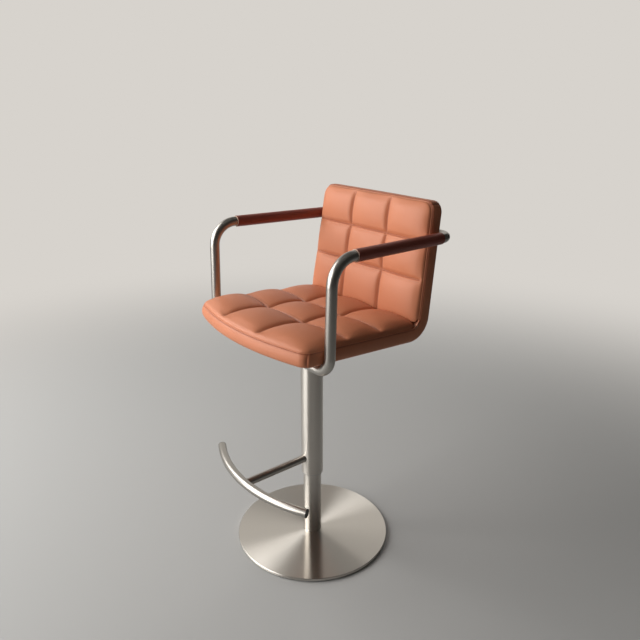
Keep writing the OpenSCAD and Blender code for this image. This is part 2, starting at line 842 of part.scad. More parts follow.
module back_saddle_places() {
    back_frame() for (side = [-1, 1])
        translate([side * saddle_back_x, 0, arm_rear_s]) rotate([90, 0, 0]) children();
}

module arm_seat_saddles() {
    color(dark_steel) seat_saddle_places() saddle(seat_drop);
}

module arm_back_saddles() {
    color(dark_steel) back_saddle_places() saddle(back_drop);
}

module saddle_screw() {
    shank_l = saddle_t + skin_t + ply_t;
    for (side = [-1, 1]) translate([0, side * saddle_pitch / 2, -saddle_t]) {
        cylinder(h = shank_l, r = saddle_screw_d / 2, $fn = 32);
        translate([0, 0, -screw_head_t]) difference() {
            cylinder(h = screw_head_t, r = saddle_screw_d * 0.85, $fn = 48);
            translate([0, 0, -1]) cylinder(h = 1 + hex_deep, r = saddle_screw_d / 3, $fn = 6);
        }
    }
}

module saddle_screws() {
    color(zinc) {
        seat_saddle_places() saddle_screw();
        back_saddle_places() saddle_screw();
    }
}

// Shell

// Outline of one layer of the L-shaped shell, from depth d0 to depth d1 under its outer face.
function layer_arc(depth, up) = [
    for (i = [0 : 8])
        let (a = -90 + (up ? i : 8 - i) / 8 * (90 - recline))
        [seat_flat_y + (shell_bend - depth) * cos(a), shell_bend + (shell_bend - depth) * sin(a)]
];
function back_line(depth, s) = [in_back([0, -depth, s])[1], in_back([0, -depth, s])[2]];
function layer_outline(d0, d1, end_inset) = concat(
    [[-seat_front - 1, d0]],
    layer_arc(d0, true),
    [back_line(d0, back_h - end_inset), back_line(d1, back_h - end_inset)],
    layer_arc(d1, false),
    [[-seat_front - 1, d1]]
);

// A flat panel is [width at the fold, width at the free edge, length, bow of the free edge, corner radius].
function seat_panel(inset) = [
    fold_w - 2 * inset, seat_front_w - 2 * inset, seat_flat_l - inset, front_bow, seat_corner
];
function back_panel(inset) = [
    fold_w - 2 * inset, back_top_w - 2 * inset, back_flat_l - inset, 0, back_corner
];

// A point of a panel: p runs across, and q from the free edge (0) to the fold (1). The result is the
// place across and the distance from the fold.
function panel_pt(p, q, panel) =
    let (
        corner = panel[4],
        w = panel[0] * q + panel[1] * (1 - q),
        x = w * (p - 0.5),
        free_l = panel[2] - panel[3] * pow(2 * p - 1, 2),
        y = free_l * (1 - q),
        cx = max(0, 1 - (w / 2 - abs(x)) / corner),
        cy = max(0, 1 - (free_l - y) / corner)
    ) [
        cx > 0 ? sign(x) * (w / 2 - corner + corner * cx * sqrt(1 - cy * cy / 2)) : x,
        cy > 0 ? free_l - corner + corner * cy * sqrt(1 - cx * cx / 2) : y
    ];

// The edge of a panel, from one side of the fold round the free edge to the other.
function panel_edge(panel) =
    let (
        corner_p = panel[4] / panel[1],
        corner_q = panel[4] / panel[2],
        edge_p = concat(
            [for (i = [1 : 3]) corner_p * i / 4],
            [for (i = [0 : 24]) corner_p + (1 - 2 * corner_p) * i / 24],
            [for (i = [3 : -1 : 1]) 1 - corner_p * i / 4]
        )
    ) concat(
        [panel_pt(0, 1, panel)],
        [for (i = [6 : -1 : 0]) panel_pt(0, corner_q * i / 6, panel)],
        [for (p = edge_p) panel_pt(p, 0, panel)],
        [for (i = [0 : 6]) panel_pt(1, corner_q * i / 6, panel)],
        [panel_pt(1, 1, panel)]
    );

// What lies outside a panel's edge, as a block to cut away.
module outside_panel(panel) {
    deep = shell_t + cut_past;
    half_fold = panel[0] / 2;
    translate([0, 0, -deep]) linear_extrude(deep + cut_past) difference() {
        translate([-seat_front_w, 0]) square([2 * seat_front_w, panel[2] + cut_past]);
        polygon(concat([[-half_fold, -1]], panel_edge(panel), [[half_fold, -1]]));
    }
}

// What lies beside the bend, as two blocks to cut away.
module beside_bend(w) {
    reach = shell_bend + cut_past;
    seat_frame() for (side = [-1, 1])
        translate([side * (w + seat_front_w) / 2 - seat_front_w / 2, seat_flat_y - 1, -cut_past])
            cube([seat_front_w, reach, reach + bend_tangent]);
}

// Frames of the seat's and the back's front faces: Y runs from the fold to the free edge, Z outwards.
module on_seat_face() {
    seat_frame() translate([0, seat_flat_y, shell_t]) mirror([0, 1, 0]) children();
}

module on_back_face() {
    back_frame() translate([0, -shell_t, bend_tangent]) rotate([90, 0, 0]) children();
}

module shell_layer(d0, d1, inset) {
    difference() {
        seat_frame() rotate([90, 0, 90]) translate([0, 0, -seat_front_w / 2]) linear_extrude(seat_front_w)
            polygon(layer_outline(d0, d1, inset));
        on_seat_face() outside_panel(seat_panel(inset));
        on_back_face() outside_panel(back_panel(inset));
        beside_bend(fold_w - 2 * inset);
    }
}

module screw_bores(plate_bore_r, saddle_bore_r) {
    deep = skin_t + ply_t + 1;
    seat_frame() plate_screw_places() translate([0, 0, -1])
        cylinder(h = deep + 1, r = plate_bore_r, $fn = 32);
    seat_saddle_places() saddle_bores(deep, saddle_bore_r);
    back_saddle_places() saddle_bores(deep, saddle_bore_r);
}

module saddle_bores(deep, r) {
    for (side = [-1, 1]) translate([0, side * saddle_pitch / 2, -1])
        cylinder(h = deep + 1, r = r, $fn = 32);
}

module shell_ply() {
    color(wood) difference() {
        shell_layer(skin_t, skin_t + ply_t, edge_foam);
        screw_bores(
            plate_screw_d / 2 + insert_wall + 2 * fix_fit,
            saddle_screw_d / 2 + insert_wall + 2 * fix_fit
        );
    }
}

module insert(screw_r) {
    translate([0, 0, skin_t]) ring(screw_r + insert_wall, screw_r + fix_fit, ply_t);
}

module ply_inserts() {
    color(zinc) {
        seat_frame() plate_screw_places() insert(plate_screw_d / 2);
        seat_saddle_places() saddle_inserts();
        back_saddle_places() saddle_inserts();
    }
}

module saddle_inserts() {
    for (side = [-1, 1]) translate([0, side * saddle_pitch / 2, 0]) insert(saddle_screw_d / 2);
}

module shell_border() {
    color(dark_leather) difference() {
        shell_layer(0, shell_t, 0);
        shell_layer(skin_t, skin_t + ply_t, edge_foam);
        screw_bores(plate_screw_d / 2 + air, saddle_screw_d / 2 + air);
    }
}

// Cushions

// Steps across one panel, closer together at the sewn channels.
function channel_step(i, cells) =
    let (cell = floor(i / cell_steps), t = i / cell_steps - cell)
    (cell + (1 - cos(180 * t)) / 2) / cells;
function tuft_height(p, row, crown) =
    pad_lip
    + crown * sqrt(1 - pow(abs(2 * p - 1), 8)) * sqrt(1 - pow(1 - row, 12))
    + tuft_puff * pow(abs(sin(180 * tuft_cols * p) * sin(180 * tuft_rows * row)), 0.45);
function smooth_end(q) = q < 0.8 ? 0 : pow((q - 0.8) / 0.2, 2);

// A crowned cushion with sewn channels, on the plane Z = 0, its fold end at Y = 0.
module tufted_cushion(panel, crown, row_growth) {
    n = tuft_cols * cell_steps;
    m = tuft_rows * cell_steps;
    lean = (inner_bend - pad_lip - crown - pad_gap) / (pad_lip + crown);
    top = [for (i = [0 : n], j = [0 : m])
        let (
            p = channel_step(i, tuft_cols),
            row = channel_step(j, tuft_rows),
            q = pow(row, 1 / row_growth),
            flat = panel_pt(p, q, panel),
            h = tuft_height(p, row, crown)
        ) [flat[0], flat[1] - lean * (h - pad_lip) * smooth_end(q), h]
    ];
    rim = concat(
        [for (i = [0 : n - 1]) i * (m + 1)],
        [for (j = [0 : m - 1]) n * (m + 1) + j],
        [for (i = [n : -1 : 1]) i * (m + 1) + m],
        [for (j = [m : -1 : 1]) j]
    );
    rim_n = len(rim);
    first = len(top);
    middle = [0, panel[2] / 2, 0];
    foot = [for (k = rim)
        let (flat = [top[k][0], max(top[k][1], 0)], way = unit([flat[0], flat[1] - panel[2] / 2]))
        [flat[0] - way[0] * pad_draw, max(flat[1] - way[1] * pad_draw, 0), 0]
    ];
    corners = [for (i = [0 : n - 1], j = [0 : m - 1]) i * (m + 1) + j];
    faces = concat(
        [for (k = corners) [k, k + 1, k + m + 2]],
        [for (k = corners) [k, k + m + 2, k + m + 1]],
        [for (k = [0 : rim_n - 1]) [rim[k], rim[(k + 1) % rim_n], first + (k + 1) % rim_n]],
        [for (k = [0 : rim_n - 1]) [rim[k], first + (k + 1) % rim_n, first + k]],
        [for (k = [0 : rim_n - 1]) [first + k, first + (k + 1) % rim_n, first + rim_n]]
    );
    polyhedron(points = concat(top, foot, [middle]), faces = faces);
}

module seat_cushion() {
    color(leather) on_seat_face() translate([0, 0, fix_fit])
        tufted_cushion(seat_panel(pad_inset_w), seat_crown, seat_row_growth);
}

module back_cushion() {
    color(leather) on_back_face() translate([0, 0, fix_fit])
        tufted_cushion(back_panel(pad_inset_w), back_crown, 1);
}

base_plate();
base_pad();
base_screws();
column_tube();
column_foot();
guide_bush();
bearing_lower_race();
bearing_balls();
bearing_upper_race();
piston_rod();
rod_clip();
rod_buffer();
piston();
gas_cylinder();
cylinder_seal();
valve_body();
release_pin();
cover_tube();
cover_glide();
cover_collar();
foot_strut();
foot_bar();
foot_bar_plugs();
seat_plate();
taper_socket();
seat_plate_screws();
lever_bracket();
lever_pin();
release_lever();
lever_grip();
arm_tube_left();
arm_tube_right();
arm_sleeve_left();
arm_sleeve_right();
arm_seat_saddles();
arm_back_saddles();
saddle_screws();
arm_tube_plugs();
shell_ply();
ply_inserts();
shell_border();
seat_cushion();
back_cushion();
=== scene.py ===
"""Dresses the adjustable bar stool: tufted leather, leather sleeves, brushed steel, and a plain studio.

Everything is in metres, with +Z up and the sitter facing -Y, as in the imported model.
"""

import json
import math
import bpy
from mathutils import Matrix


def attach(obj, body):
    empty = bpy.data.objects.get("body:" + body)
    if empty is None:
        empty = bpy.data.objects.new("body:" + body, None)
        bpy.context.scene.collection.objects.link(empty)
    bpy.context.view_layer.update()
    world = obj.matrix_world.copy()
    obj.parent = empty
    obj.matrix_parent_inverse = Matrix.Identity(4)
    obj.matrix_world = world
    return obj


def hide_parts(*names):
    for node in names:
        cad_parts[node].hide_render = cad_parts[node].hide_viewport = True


bl_info = {
    "name": "Tufted bar stool",
    "version": (1, 0, 0),
    "blender": (4, 5, 0),
    "location": "3D View > Sidebar > Stool",
    "description": "Makes the upholstery, the finishes and the studio of an adjustable bar stool with arms",
    "category": "Object",
}

from collections import namedtuple

import bmesh
import bpy
import numpy as np
from bpy.props import FloatProperty, FloatVectorProperty, IntProperty, PointerProperty
from mathutils import Matrix, Vector, noise

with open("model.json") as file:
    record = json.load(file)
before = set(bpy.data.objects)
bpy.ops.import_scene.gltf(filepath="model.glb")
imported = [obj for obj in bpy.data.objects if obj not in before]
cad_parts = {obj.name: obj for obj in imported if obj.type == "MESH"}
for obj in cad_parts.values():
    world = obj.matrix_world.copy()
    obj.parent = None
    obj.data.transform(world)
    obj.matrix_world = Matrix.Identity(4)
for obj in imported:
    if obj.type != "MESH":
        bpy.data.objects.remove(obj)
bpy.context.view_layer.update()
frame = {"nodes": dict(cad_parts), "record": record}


# ---- sizes and colours ----


def number(name, description, default, **kind):
    return FloatProperty(name=name, description=description, default=default, **kind)


def length(name, description, default):
    return number(name, description, default, unit="LENGTH", precision=4)


def angle(name, description, degrees):
    return number(name, description, math.radians(degrees), subtype="ANGLE")


def count(name, description, default):
    return IntProperty(name=name, description=description, default=default, min=1)


def colour(name, description, default):
    return FloatVectorProperty(
        name=name, description=description, default=default, subtype="COLOR", min=0, max=1
    )


class ShellSizes(bpy.types.PropertyGroup):
    under_h: length("Underside height", "Height of the underside at the column", 0.637)
    tilt: angle("Seat slope", "Slope of the seat down towards the back", 4.3)
    recline: angle("Back lean", "Lean of the back against the seat's normal", 3.6)
    front_w: length("Front width", "Width of the seat at its front corners", 0.452)
    fold_w: length("Fold width", "Width where the seat folds into the back", 0.430)
    top_w: length("Top width", "Width of the back at its top", 0.408)
    front: length("Front reach", "From the column's axis to the middle of the front", 0.234)
    rear: length("Rear reach", "From the column's axis to the rear face", 0.200)
    bow: length("Front bow", "How far the front edge bows out", 0.040)
    seat_corner: length("Seat corner", "Corner radius of the seat in plan", 0.016)
    back_h: length("Back height", "Height of the back along its rear face", 0.343)
    back_corner: length("Back corner", "Radius of the back's upper corners", 0.026)
    thick: length("Thickness", "Thickness of the shell up to its seam", 0.032)
    bend: length("Bend radius", "Outer radius of the bend under the fold", 0.058)
    edge: length("Edge rounding", "Rounding of the border at the seam", 0.0030)
    bulge: length("Border bulge", "How far the border swells out", 0.0055)
    roll_w: length("Roll width", "How far the lower edge's roll reaches in", 0.022)
    roll_drop: length("Roll drop", "How far the lower edge's roll hangs down", 0.0030)
    seam_r: length("Seam cord radius", "Radius of the cord in the seam", 0.0014)
    tube_gap: length("Gap to the arms", "Room between the border and the arm tubes", 0.0007)


class CushionSizes(bpy.types.PropertyGroup):
    columns: count("Columns", "Number of tufted columns", 3)
    rows: count("Rows", "Number of tufted rows", 3)
    cell: count("Steps", "Mesh steps from one sewn channel to the next", 28)
    growth: number("Row growth", "How much the seat's tufts lengthen towards the front", 1.13)
    lip: length("Lip", "Height of the cushion's edge above the seam", 0.002)
    seat_crown: length("Seat crown", "Crown of the seat cushion", 0.010)
    back_crown: length("Back crown", "Crown of the back cushion", 0.008)
    seat_puff: length("Seat tufts", "Height of the seat's tufts before they swell", 0.0170)
    back_puff: length("Back tufts", "Height of the back's tufts before they swell", 0.0125)
    between: number("Channel rise", "Part of the tufts' height that the channels keep", 0.38)
    seat_fade: length("Seat channel fade", "How far from the edge the seat's channels fade", 0.017)
    back_fade: length("Back channel fade", "How far from the edge the back's channels fade", 0.006)
    strip: length("Seam strip", "Width of the flat strip beside each channel", 0.0062)
    strip_h: length("Seam strip height", "Height of the flat strip beside each channel", 0.0032)
    pitch: length("Stitch pitch", "Distance from one stitch to the next", 0.0042)
    seat_inset: length("Seat inset", "How far the seat cushion stays inside the border", 0.0008)
    back_inset: length("Back inset", "How far the back cushion stays inside the border", 0.0028)
    draw: length("Drawn-in foot", "How far the cushion's foot is drawn in", 0.002)
    pressure: number("Filling pressure", "Pressure of the filling", 4.0)
    seat_swell: length("Seat swell", "How far the filling may push the seat's leather", 0.0050)
    back_swell: length("Back swell", "How far the filling may push the back's leather", 0.0035)
    held_edge: length("Held edge", "Width of the edge that hardly swells", 0.022)
    groove: length("Groove depth", "How far the sewn channels cut into the leather", 0.0046)
    groove_w: length("Groove width", "Half the width of the valley along each channel", 0.0058)


class SleeveSizes(bpy.types.PropertyGroup):
    wall: length("Leather thickness", "Thickness of the sleeves' leather", 0.0019)
    seam_h: length("Seam height", "Height of the sewn seam under each sleeve", 0.0010)
    pitch: length("Stitch pitch", "Distance from one stitch to the next", 0.0050)


class Finishes(bpy.types.PropertyGroup):
    tan: colour("Tan leather", "Leather of the seat and the back", (0.55, 0.198, 0.100))
    # tan_seam_shade is painted shade: the tan made darker for the seams and the cushions' sides, as if they
    # lay in shade.
    tan_seam_shade: colour("Tan in the seams", "The same leather down in its seams", (0.22, 0.055, 0.025))
    sleeve: colour("Sleeve leather", "Darker leather of the armrest sleeves", (0.265, 0.065, 0.044))
    cut_edge: colour("Cut edge", "Raw edge of the sleeves", (0.68, 0.48, 0.37))
    thread: colour("Thread", "Thread of the topstitching", (0.50, 0.20, 0.11))
    light_thread: colour("Light thread", "Thread at the ends of the fold", (0.72, 0.52, 0.40))
    steel: colour("Brushed steel", "Stainless steel of the tubes and the base", (0.62, 0.59, 0.545))


class StudioSetup(bpy.types.PropertyGroup):
    floor: colour("Floor", "Colour of the floor", (0.44, 0.44, 0.432))
    backdrop: colour("Background", "Colour of the background", (0.68, 0.65, 0.61))
    screen: colour("Screen", "Colour of the screen on the shaded side", (0.05, 0.048, 0.045))
    ceiling: colour("Ceiling", "Colour of the screen overhead", (0.34, 0.33, 0.32))
    ambient: number("Ambient light", "Strength of the even light from the open side", 0.23)
    key: number("Main lamp", "Power of the main soft lamp", 125.0, unit="POWER")


GROUPS = {
    "stool_shell": ShellSizes,
    "stool_cushions": CushionSizes,
    "stool_sleeves": SleeveSizes,
    "stool_finishes": Finishes,
    "stool_studio": StudioSetup,
}


# ---- shaders ----


class Value:
    """An output that can be used in Python sums: each operator adds its Math node."""

    def __init__(self, nodes, socket):
        self.nodes = nodes
        self.socket = socket

    def math(self, operation, other):
        return self.nodes.node("Math", {"operation": operation}, {0: self, 1: other})

    def __add__(self, other):
        return self.math("ADD", other)

    def __mul__(self, other):
        return self.math("MULTIPLY", other)

    __radd__ = __add__
    __rmul__ = __mul__


class Nodes:
    """A node tree, and the one method that adds its nodes."""

    def __init__(self, tree):
        self.tree = tree

    def node(self, kind, settings=None, inputs=None, out=0):
        """Adds a node: its settings first, then the values or links of its sockets. Returns one output."""
        node = self.tree.nodes.new("ShaderNode" + kind)
        for key, value in (settings or {}).items():
            if key == "stops":
                for element, (place, shade) in zip(node.color_ramp.elements, value):
                    element.position = place
                    element.color = (shade, shade, shade, 1)
            else:
                setattr(node, key, value)
        for key, value in (inputs or {}).items():
            if isinstance(value, Value):
                self.tree.links.new(value.socket, node.inputs[key])
            else:
                node.inputs[key].default_value = value
        return Value(self, node.outputs[out]) if node.outputs else None


class Finish(Nodes):
    """A material with one Principled shader."""

    def __init__(self, name, base, rough, metallic=0.0, **plain):
        self.material = bpy.data.materials.new(name)
        self.material.use_nodes = True
        super().__init__(self.material.node_tree)
        self.shader = self.tree.nodes["Principled BSDF"]
        plain.update(Base_Color=(*base, 1), Roughness=rough, Metallic=metallic)
        for socket, value in plain.items():
            self.shader.inputs[socket.replace("_", " ")].default_value = value

    def feed(self, socket, value):
        self.tree.links.new(value.socket, self.shader.inputs[socket])

    def place(self, stretch=(1, 1, 1)):
        """Object coordinates, stretched along each axis."""
        at = self.node("TexCoord", out="Object")
        return self.node("VectorMath", {"operation": "MULTIPLY"}, {0: at, 1: stretch})

    def grain(self, scale, detail=2, rough=0.5, stretch=(1, 1, 1), at=None):
        """Smooth noise from 0 to 1, whose cells are about 1 / scale metres wide."""
        at = at or self.place(stretch)
        inputs = {"Vector": at, "Scale": scale, "Detail": detail, "Roughness": rough}
        return self.node("TexNoise", None, inputs)

    def blend(self, amount, low, high):
        """A colour between two others."""
        inputs = {0: amount}
        for index, shade in ((6, low), (7, high)):
            inputs[index] = shade if isinstance(shade, Value) else (*shade, 1)
        return self.node("Mix", {"data_type": "RGBA"}, inputs, out=2)

    def tone(self, amount, shade, low, high):
        """One colour between two of its brightnesses."""
        return self.blend(amount, scaled(shade, low), scaled(shade, high))

    def relief(self, height, depth, strength):
        """Small relief: height from 0 to 1, depth in metres."""
        inputs = {"Strength": strength, "Distance": depth, "Height": height}
        self.feed("Normal", self.node("Bump", None, inputs, out="Normal"))


def scaled(shade, factor):
    return tuple(min(1.0, part * factor) for part in shade[:3])


def leather(name, shade, seam_shade_colour, rough):
    """Soft pigmented leather with pores and fine wrinkles. Where the seam attribute says, its colour turns
    to a darker one: painted shade along the seams and down the cushions' sides.
    """
    finish = Finish(name, shade, rough, Specular_IOR_Level=0.36)
    tone = finish.tone(finish.grain(scale=9, detail=3), shade, low=0.93, high=1.06)
    # The seam attribute says how much painted shade each point gets.
    channel = finish.node("Attribute", {"attribute_name": "seam"}, out="Fac")
    finish.feed("Base Color", finish.blend(channel, tone, seam_shade_colour))
    inputs = {"Vector": finish.place(), "Scale": 620}
    cells = finish.node("TexVoronoi", {"feature": "DISTANCE_TO_EDGE"}, inputs, out="Distance")
    pores = finish.node("ValToRGB", {"stops": ((0.0, 0.0), (0.22, 1.0))}, {0: cells})
    wrinkles = finish.grain(scale=120, detail=4, rough=0.6)
    finish.feed("Roughness", rough - 0.06 + 0.12 * finish.grain(scale=45, detail=3))
    finish.relief(pores * 0.45 + wrinkles * 0.55, depth=0.00035, strength=0.55)
    return finish.material


def brushed_tube(name, shade, stretch, blur, turned, rough=0.3):
    """Stainless tube with fine brushing. blur and turned give how far and which way the shine spreads."""
    finish = Finish(name, shade, rough, 1.0, Anisotropic=blur, Anisotropic_Rotation=turned)
    lines = finish.grain(scale=1, detail=3, rough=0.6, stretch=stretch)
    finish.feed("Base Color", finish.tone(lines, shade, low=0.93, high=1.05))
    finish.feed("Roughness", rough - 0.06 + 0.08 * lines + 0.05 * finish.grain(scale=14))
    finish.relief(lines, depth=0.00002, strength=0.35)
    return finish.material


def brushed_disc(name, shade, rough):
    """Stainless disc with circular brushing round its middle."""
    finish = Finish(name, shade, rough, 1.0, Anisotropic=1.0, Anisotropic_Rotation=0.25)
    flat = finish.place((1, 1, 0))
    radius = finish.node("VectorMath", {"operation": "LENGTH"}, {0: flat}, out="Value")
    fine_at, broad_at = (finish.node("CombineXYZ", None, {"X": radius * rate}) for rate in (2600.0, 210.0))
    fine = finish.grain(scale=1, detail=4, rough=0.7, at=fine_at)
    broad = finish.grain(scale=1, detail=3, rough=0.6, at=broad_at)
    lines = fine * 0.6 + broad * 0.4
    finish.feed("Base Color", finish.tone(lines, shade, low=0.92, high=1.06))
    finish.feed("Roughness", rough - 0.06 + 0.12 * lines)
    finish.relief(lines, depth=0.00002, strength=0.4)
    return finish.material


def plain_metal(name, shade, rough):
    """Plated or polished metal with faint handling marks."""
    finish = Finish(name, shade, rough, 1.0)
    marks = finish.grain(scale=60, detail=4, rough=0.6)
    finish.feed("Base Color", finish.tone(marks, shade, low=0.9, high=1.05))
    finish.feed("Roughness", rough - 0.05 + 0.12 * marks)
    return finish.material


def moulded(name, shade, rough, depth=0.00008):
    """Moulded plastic or powder paint with a fine texture."""
    finish = Finish(name, shade, rough)
    speckle = finish.grain(scale=900)
    finish.feed("Base Color", finish.tone(finish.grain(scale=30), shade, low=0.88, high=1.12))
    finish.feed("Roughness", rough - 0.05 + 0.1 * speckle)
    finish.relief(speckle, depth, strength=0.5)
    return finish.material


def plywood(name, shade):
    """Beech plywood: thin layers of two tones."""
    finish = Finish(name, shade, rough=0.6)
    layers = finish.grain(scale=1, detail=4, rough=0.6, stretch=(14, 180, 180))
    finish.feed("Base Color", finish.tone(layers, shade, low=0.72, high=1.1))
    finish.relief(layers, depth=0.0001, strength=0.4)
    return finish.material


def spun_thread(name, shade):
    """Sewing thread with its twist."""
    finish = Finish(name, shade, rough=0.62, Sheen_Weight=0.2)
    twist = finish.grain(scale=2600)
    finish.feed("Base Color", finish.tone(twist, shade, low=0.8, high=1.15))
    finish.relief(twist, depth=0.0001, strength=0.6)
    return finish.material


def finish(kind):
    """The material of one kind, made the first time it is asked for."""
    name = "stool_" + kind
    if name in bpy.data.materials:
        return bpy.data.materials[name]
    shades = bpy.context.scene.stool_finishes
    # The arm tubes get a darker copy of the one steel, painted shade for the dark reflections they show, and
    # the base a slightly lighter copy, painted light.
    arms, disc, seam_shade_colour = scaled(shades.steel, 0.68), scaled(shades.steel, 1.04), scaled(shades.sleeve, 0.35)
    makers = {
        # Each leather gets a darker copy of itself, for painted shade in its seams.
        "tan": lambda: leather(name, shades.tan, shades.tan_seam_shade, rough=0.46),
        "sleeve": lambda: leather(name, shades.sleeve, seam_shade_colour, rough=0.42),
        "cut_edge": lambda: moulded(name, shades.cut_edge, rough=0.8, depth=0.0002),
        "thread": lambda: spun_thread(name, shades.thread),
        "light_thread": lambda: spun_thread(name, shades.light_thread),
        "brushed_steel": lambda: brushed_tube(name, arms, (30, 30, 2600), blur=0.3, turned=0.0),
        "column": lambda: brushed_tube(name, shades.steel, (60, 60, 5200), blur=0.95, turned=0.25),
        "disc": lambda: brushed_disc(name, disc, rough=0.31),
        "black_plastic": lambda: moulded(name, (0.018, 0.018, 0.019), rough=0.5),
        "grey_plastic": lambda: moulded(name, (0.50, 0.49, 0.47), rough=0.45),
        "white_plastic": lambda: moulded(name, (0.78, 0.76, 0.70), rough=0.5),
        "zinc_steel": lambda: plain_metal(name, (0.66, 0.68, 0.70), rough=0.34),
        "bright_steel": lambda: plain_metal(name, (0.80, 0.80, 0.80), rough=0.12),
        "black_steel": lambda: moulded(name, (0.030, 0.030, 0.032), rough=0.45, depth=0.00012),
        "plywood": lambda: plywood(name, (0.62, 0.45, 0.26)),
    }
    return makers[kind]()


# ---- meshes ----


def make_piece(name, points, faces, materials, painted_shade=None):
    """A smooth mesh object with outward normals. painted_shade gives each point's painted shade, from 0 to
    1, kept as the mesh's seam attribute.
    """
    mesh = bpy.data.meshes.new(name)
    mesh.from_pydata(np.asarray(points, dtype=float).tolist(), [], [list(map(int, face)) for face in faces])
    if painted_shade is not None:
        layer = mesh.attributes.new("seam", "FLOAT", "POINT")
        layer.data.foreach_set("value", np.asarray(painted_shade, dtype=np.float32))
    shape = bmesh.new()
    shape.from_mesh(mesh)
    bmesh.ops.recalc_face_normals(shape, faces=shape.faces)
    shape.to_mesh(mesh)
    shape.free()
    mesh.polygons.foreach_set("use_smooth", [True] * len(mesh.polygons))
    for material in materials:
        mesh.materials.append(material)
    piece = bpy.data.objects.new(name, mesh)
    bpy.context.scene.collection.objects.link(piece)
    return piece


def get_points(mesh):
    points = np.empty(len(mesh.vertices) * 3)
    mesh.vertices.foreach_get("co", points)
    return points.reshape(-1, 3)


def set_points(mesh, points):
    mesh.vertices.foreach_set("co", points.ravel())
    mesh.update()


def unit(vectors):
    size = np.linalg.norm(vectors, axis=-1, keepdims=True)
    return vectors / np.maximum(size, 1e-12)


def bell(x, width):
    """A bell curve: 1 at 0, and nearly nothing beyond twice the width."""
    return np.exp(-((x / width) ** 2))


def smooth(amount):
    """Eases from 0 to 1."""
    amount = np.clip(amount, 0, 1)
    return amount * amount * (3 - 2 * amount)


def eased(steps, ease=0.6):
    """Steps from 0 to 1 that are closer together at both ends."""
    t = np.linspace(0, 1, steps + 1)
    return (1 - ease) * t + ease * (1 - np.cos(np.pi * t)) / 2


def point_at(at, steps, line):
    """The point of a line at one of its steps."""
    return np.array([np.interp(at, steps, line[:, axis]) for axis in range(3)])


def gathers(points, scale):
    """Noise from -1 to 1 at each point, for the small gathers beside a seam."""
    return np.array([noise.noise(Vector(point) * scale) for point in points])


def grid_faces(rows, columns):
    """Faces of a grid of (rows + 1) times (columns + 1) points."""
    corners = [i * (columns + 1) + j for i in range(rows) for j in range(columns)]
    return [(k, k + 1, k + columns + 2, k + columns + 1) for k in corners]


def rim_of(grid):
    """The places round the edge of a grid of places, one way round."""
    return np.array([*grid[:-1, 0], *grid[-1, :-1], *grid[:0:-1, -1], *grid[0, :0:-1]])


def band(low, high):
    """Faces between two closed rows of points."""
    total = len(low)
    return [(low[k], low[(k + 1) % total], high[(k + 1) % total], high[k]) for k in range(total)]


def tube_faces(rings, sides, closed=False):
    """Faces between rings of points that follow one another, the last one back to the first if closed."""
    faces = []
    for ring in range(rings if closed else rings - 1):
        low, high = ring * sides, (ring + 1) % rings * sides
        faces += band(range(low, low + sides), range(high, high + sides))
    return faces


ASKEW = (0.31, 0.22, 0.93)  # a direction that no path starts along


def tube_mesh(path, radius, sides, closed=False):
    """Points and faces of a tube along a path, with flat ends unless it is closed."""
    path = np.asarray(path, dtype=float)
    rings = len(path)
    ahead = np.roll(path, -1, axis=0)
    behind = np.roll(path, 1, axis=0)
    if not closed:
        ahead[-1], behind[0] = path[-1], path[0]
    ways = unit(ahead - behind)
    across = unit(np.cross(ways[0], ASKEW))
    turns = np.linspace(0, 2 * np.pi, sides, endpoint=False)[:, None]
    points = []
    for place, way in zip(path, ways):
        across = unit(across - way * np.dot(across, way))
        points.append(place + radius * (np.cos(turns) * across + np.sin(turns) * np.cross(way, across)))
    faces = tube_faces(rings, sides, closed)
    if not closed:
        faces += [range(sides), range((rings - 1) * sides, rings * sides)]
    return np.concatenate(points), faces


STITCH_SPAN = (0.14, 0.86)  # where a stitch starts and ends, as parts of the pitch
STITCH_SIDES, STITCH_STEPS = 6, 4
STITCH_H, STITCH_SUNK = 1.6, 0.5  # a stitch's height, and how deep its ends are, in radii of its thread


class Bundle:
    """Collects rows of points or several small forms into one mesh."""

    def __init__(self):
        self.points = []
        self.faces = []
        self.size = 0

    def add(self, points, faces=()):
        self.points.append(points)
        self.faces += [[index + self.size for index in face] for face in faces]
        self.size += len(points)

    def ring(self, before, points):
        """Adds a closed row of points, joined to the row before. Returns the places of its points."""
        here = range(self.size, self.size + len(points))
        self.faces += band(before, here)
        self.add(points)
        return here

    def stitch(self, start, end, out, radius):
        """One stitch: a short thread that rises out of the leather and goes in again."""
        start, end, out = map(np.asarray, (start, end, out))
        steps = np.linspace(0, 1, STITCH_STEPS + 1)[:, None]
        rise = radius * (STITCH_H * np.sin(np.pi * steps) - STITCH_SUNK)
        self.add(*tube_mesh(start + (end - start) * steps + out * rise, radius, STITCH_SIDES))

    def sew(self, path, out, pitch, radius):
        """A row of stitches along a path."""
        path = np.asarray(path)
        run = np.concatenate([[0], np.cumsum(np.linalg.norm(np.diff(path, axis=0), axis=1))])
        for k in range(int(run[-1] / pitch)):
            self.stitch(*(point_at((k + part) * pitch, run, path) for part in STITCH_SPAN), out, radius)

    def make(self, name, materials, painted_shade=None):
        return make_piece(name, np.concatenate(self.points), self.faces, materials, painted_shade)


# ---- the shell's form ----

# A panel's widths at the fold and at the free edge, its length, and that edge's bow and corner radius.
Panel = namedtuple("Panel", "fold_w free_w reach bow corner")


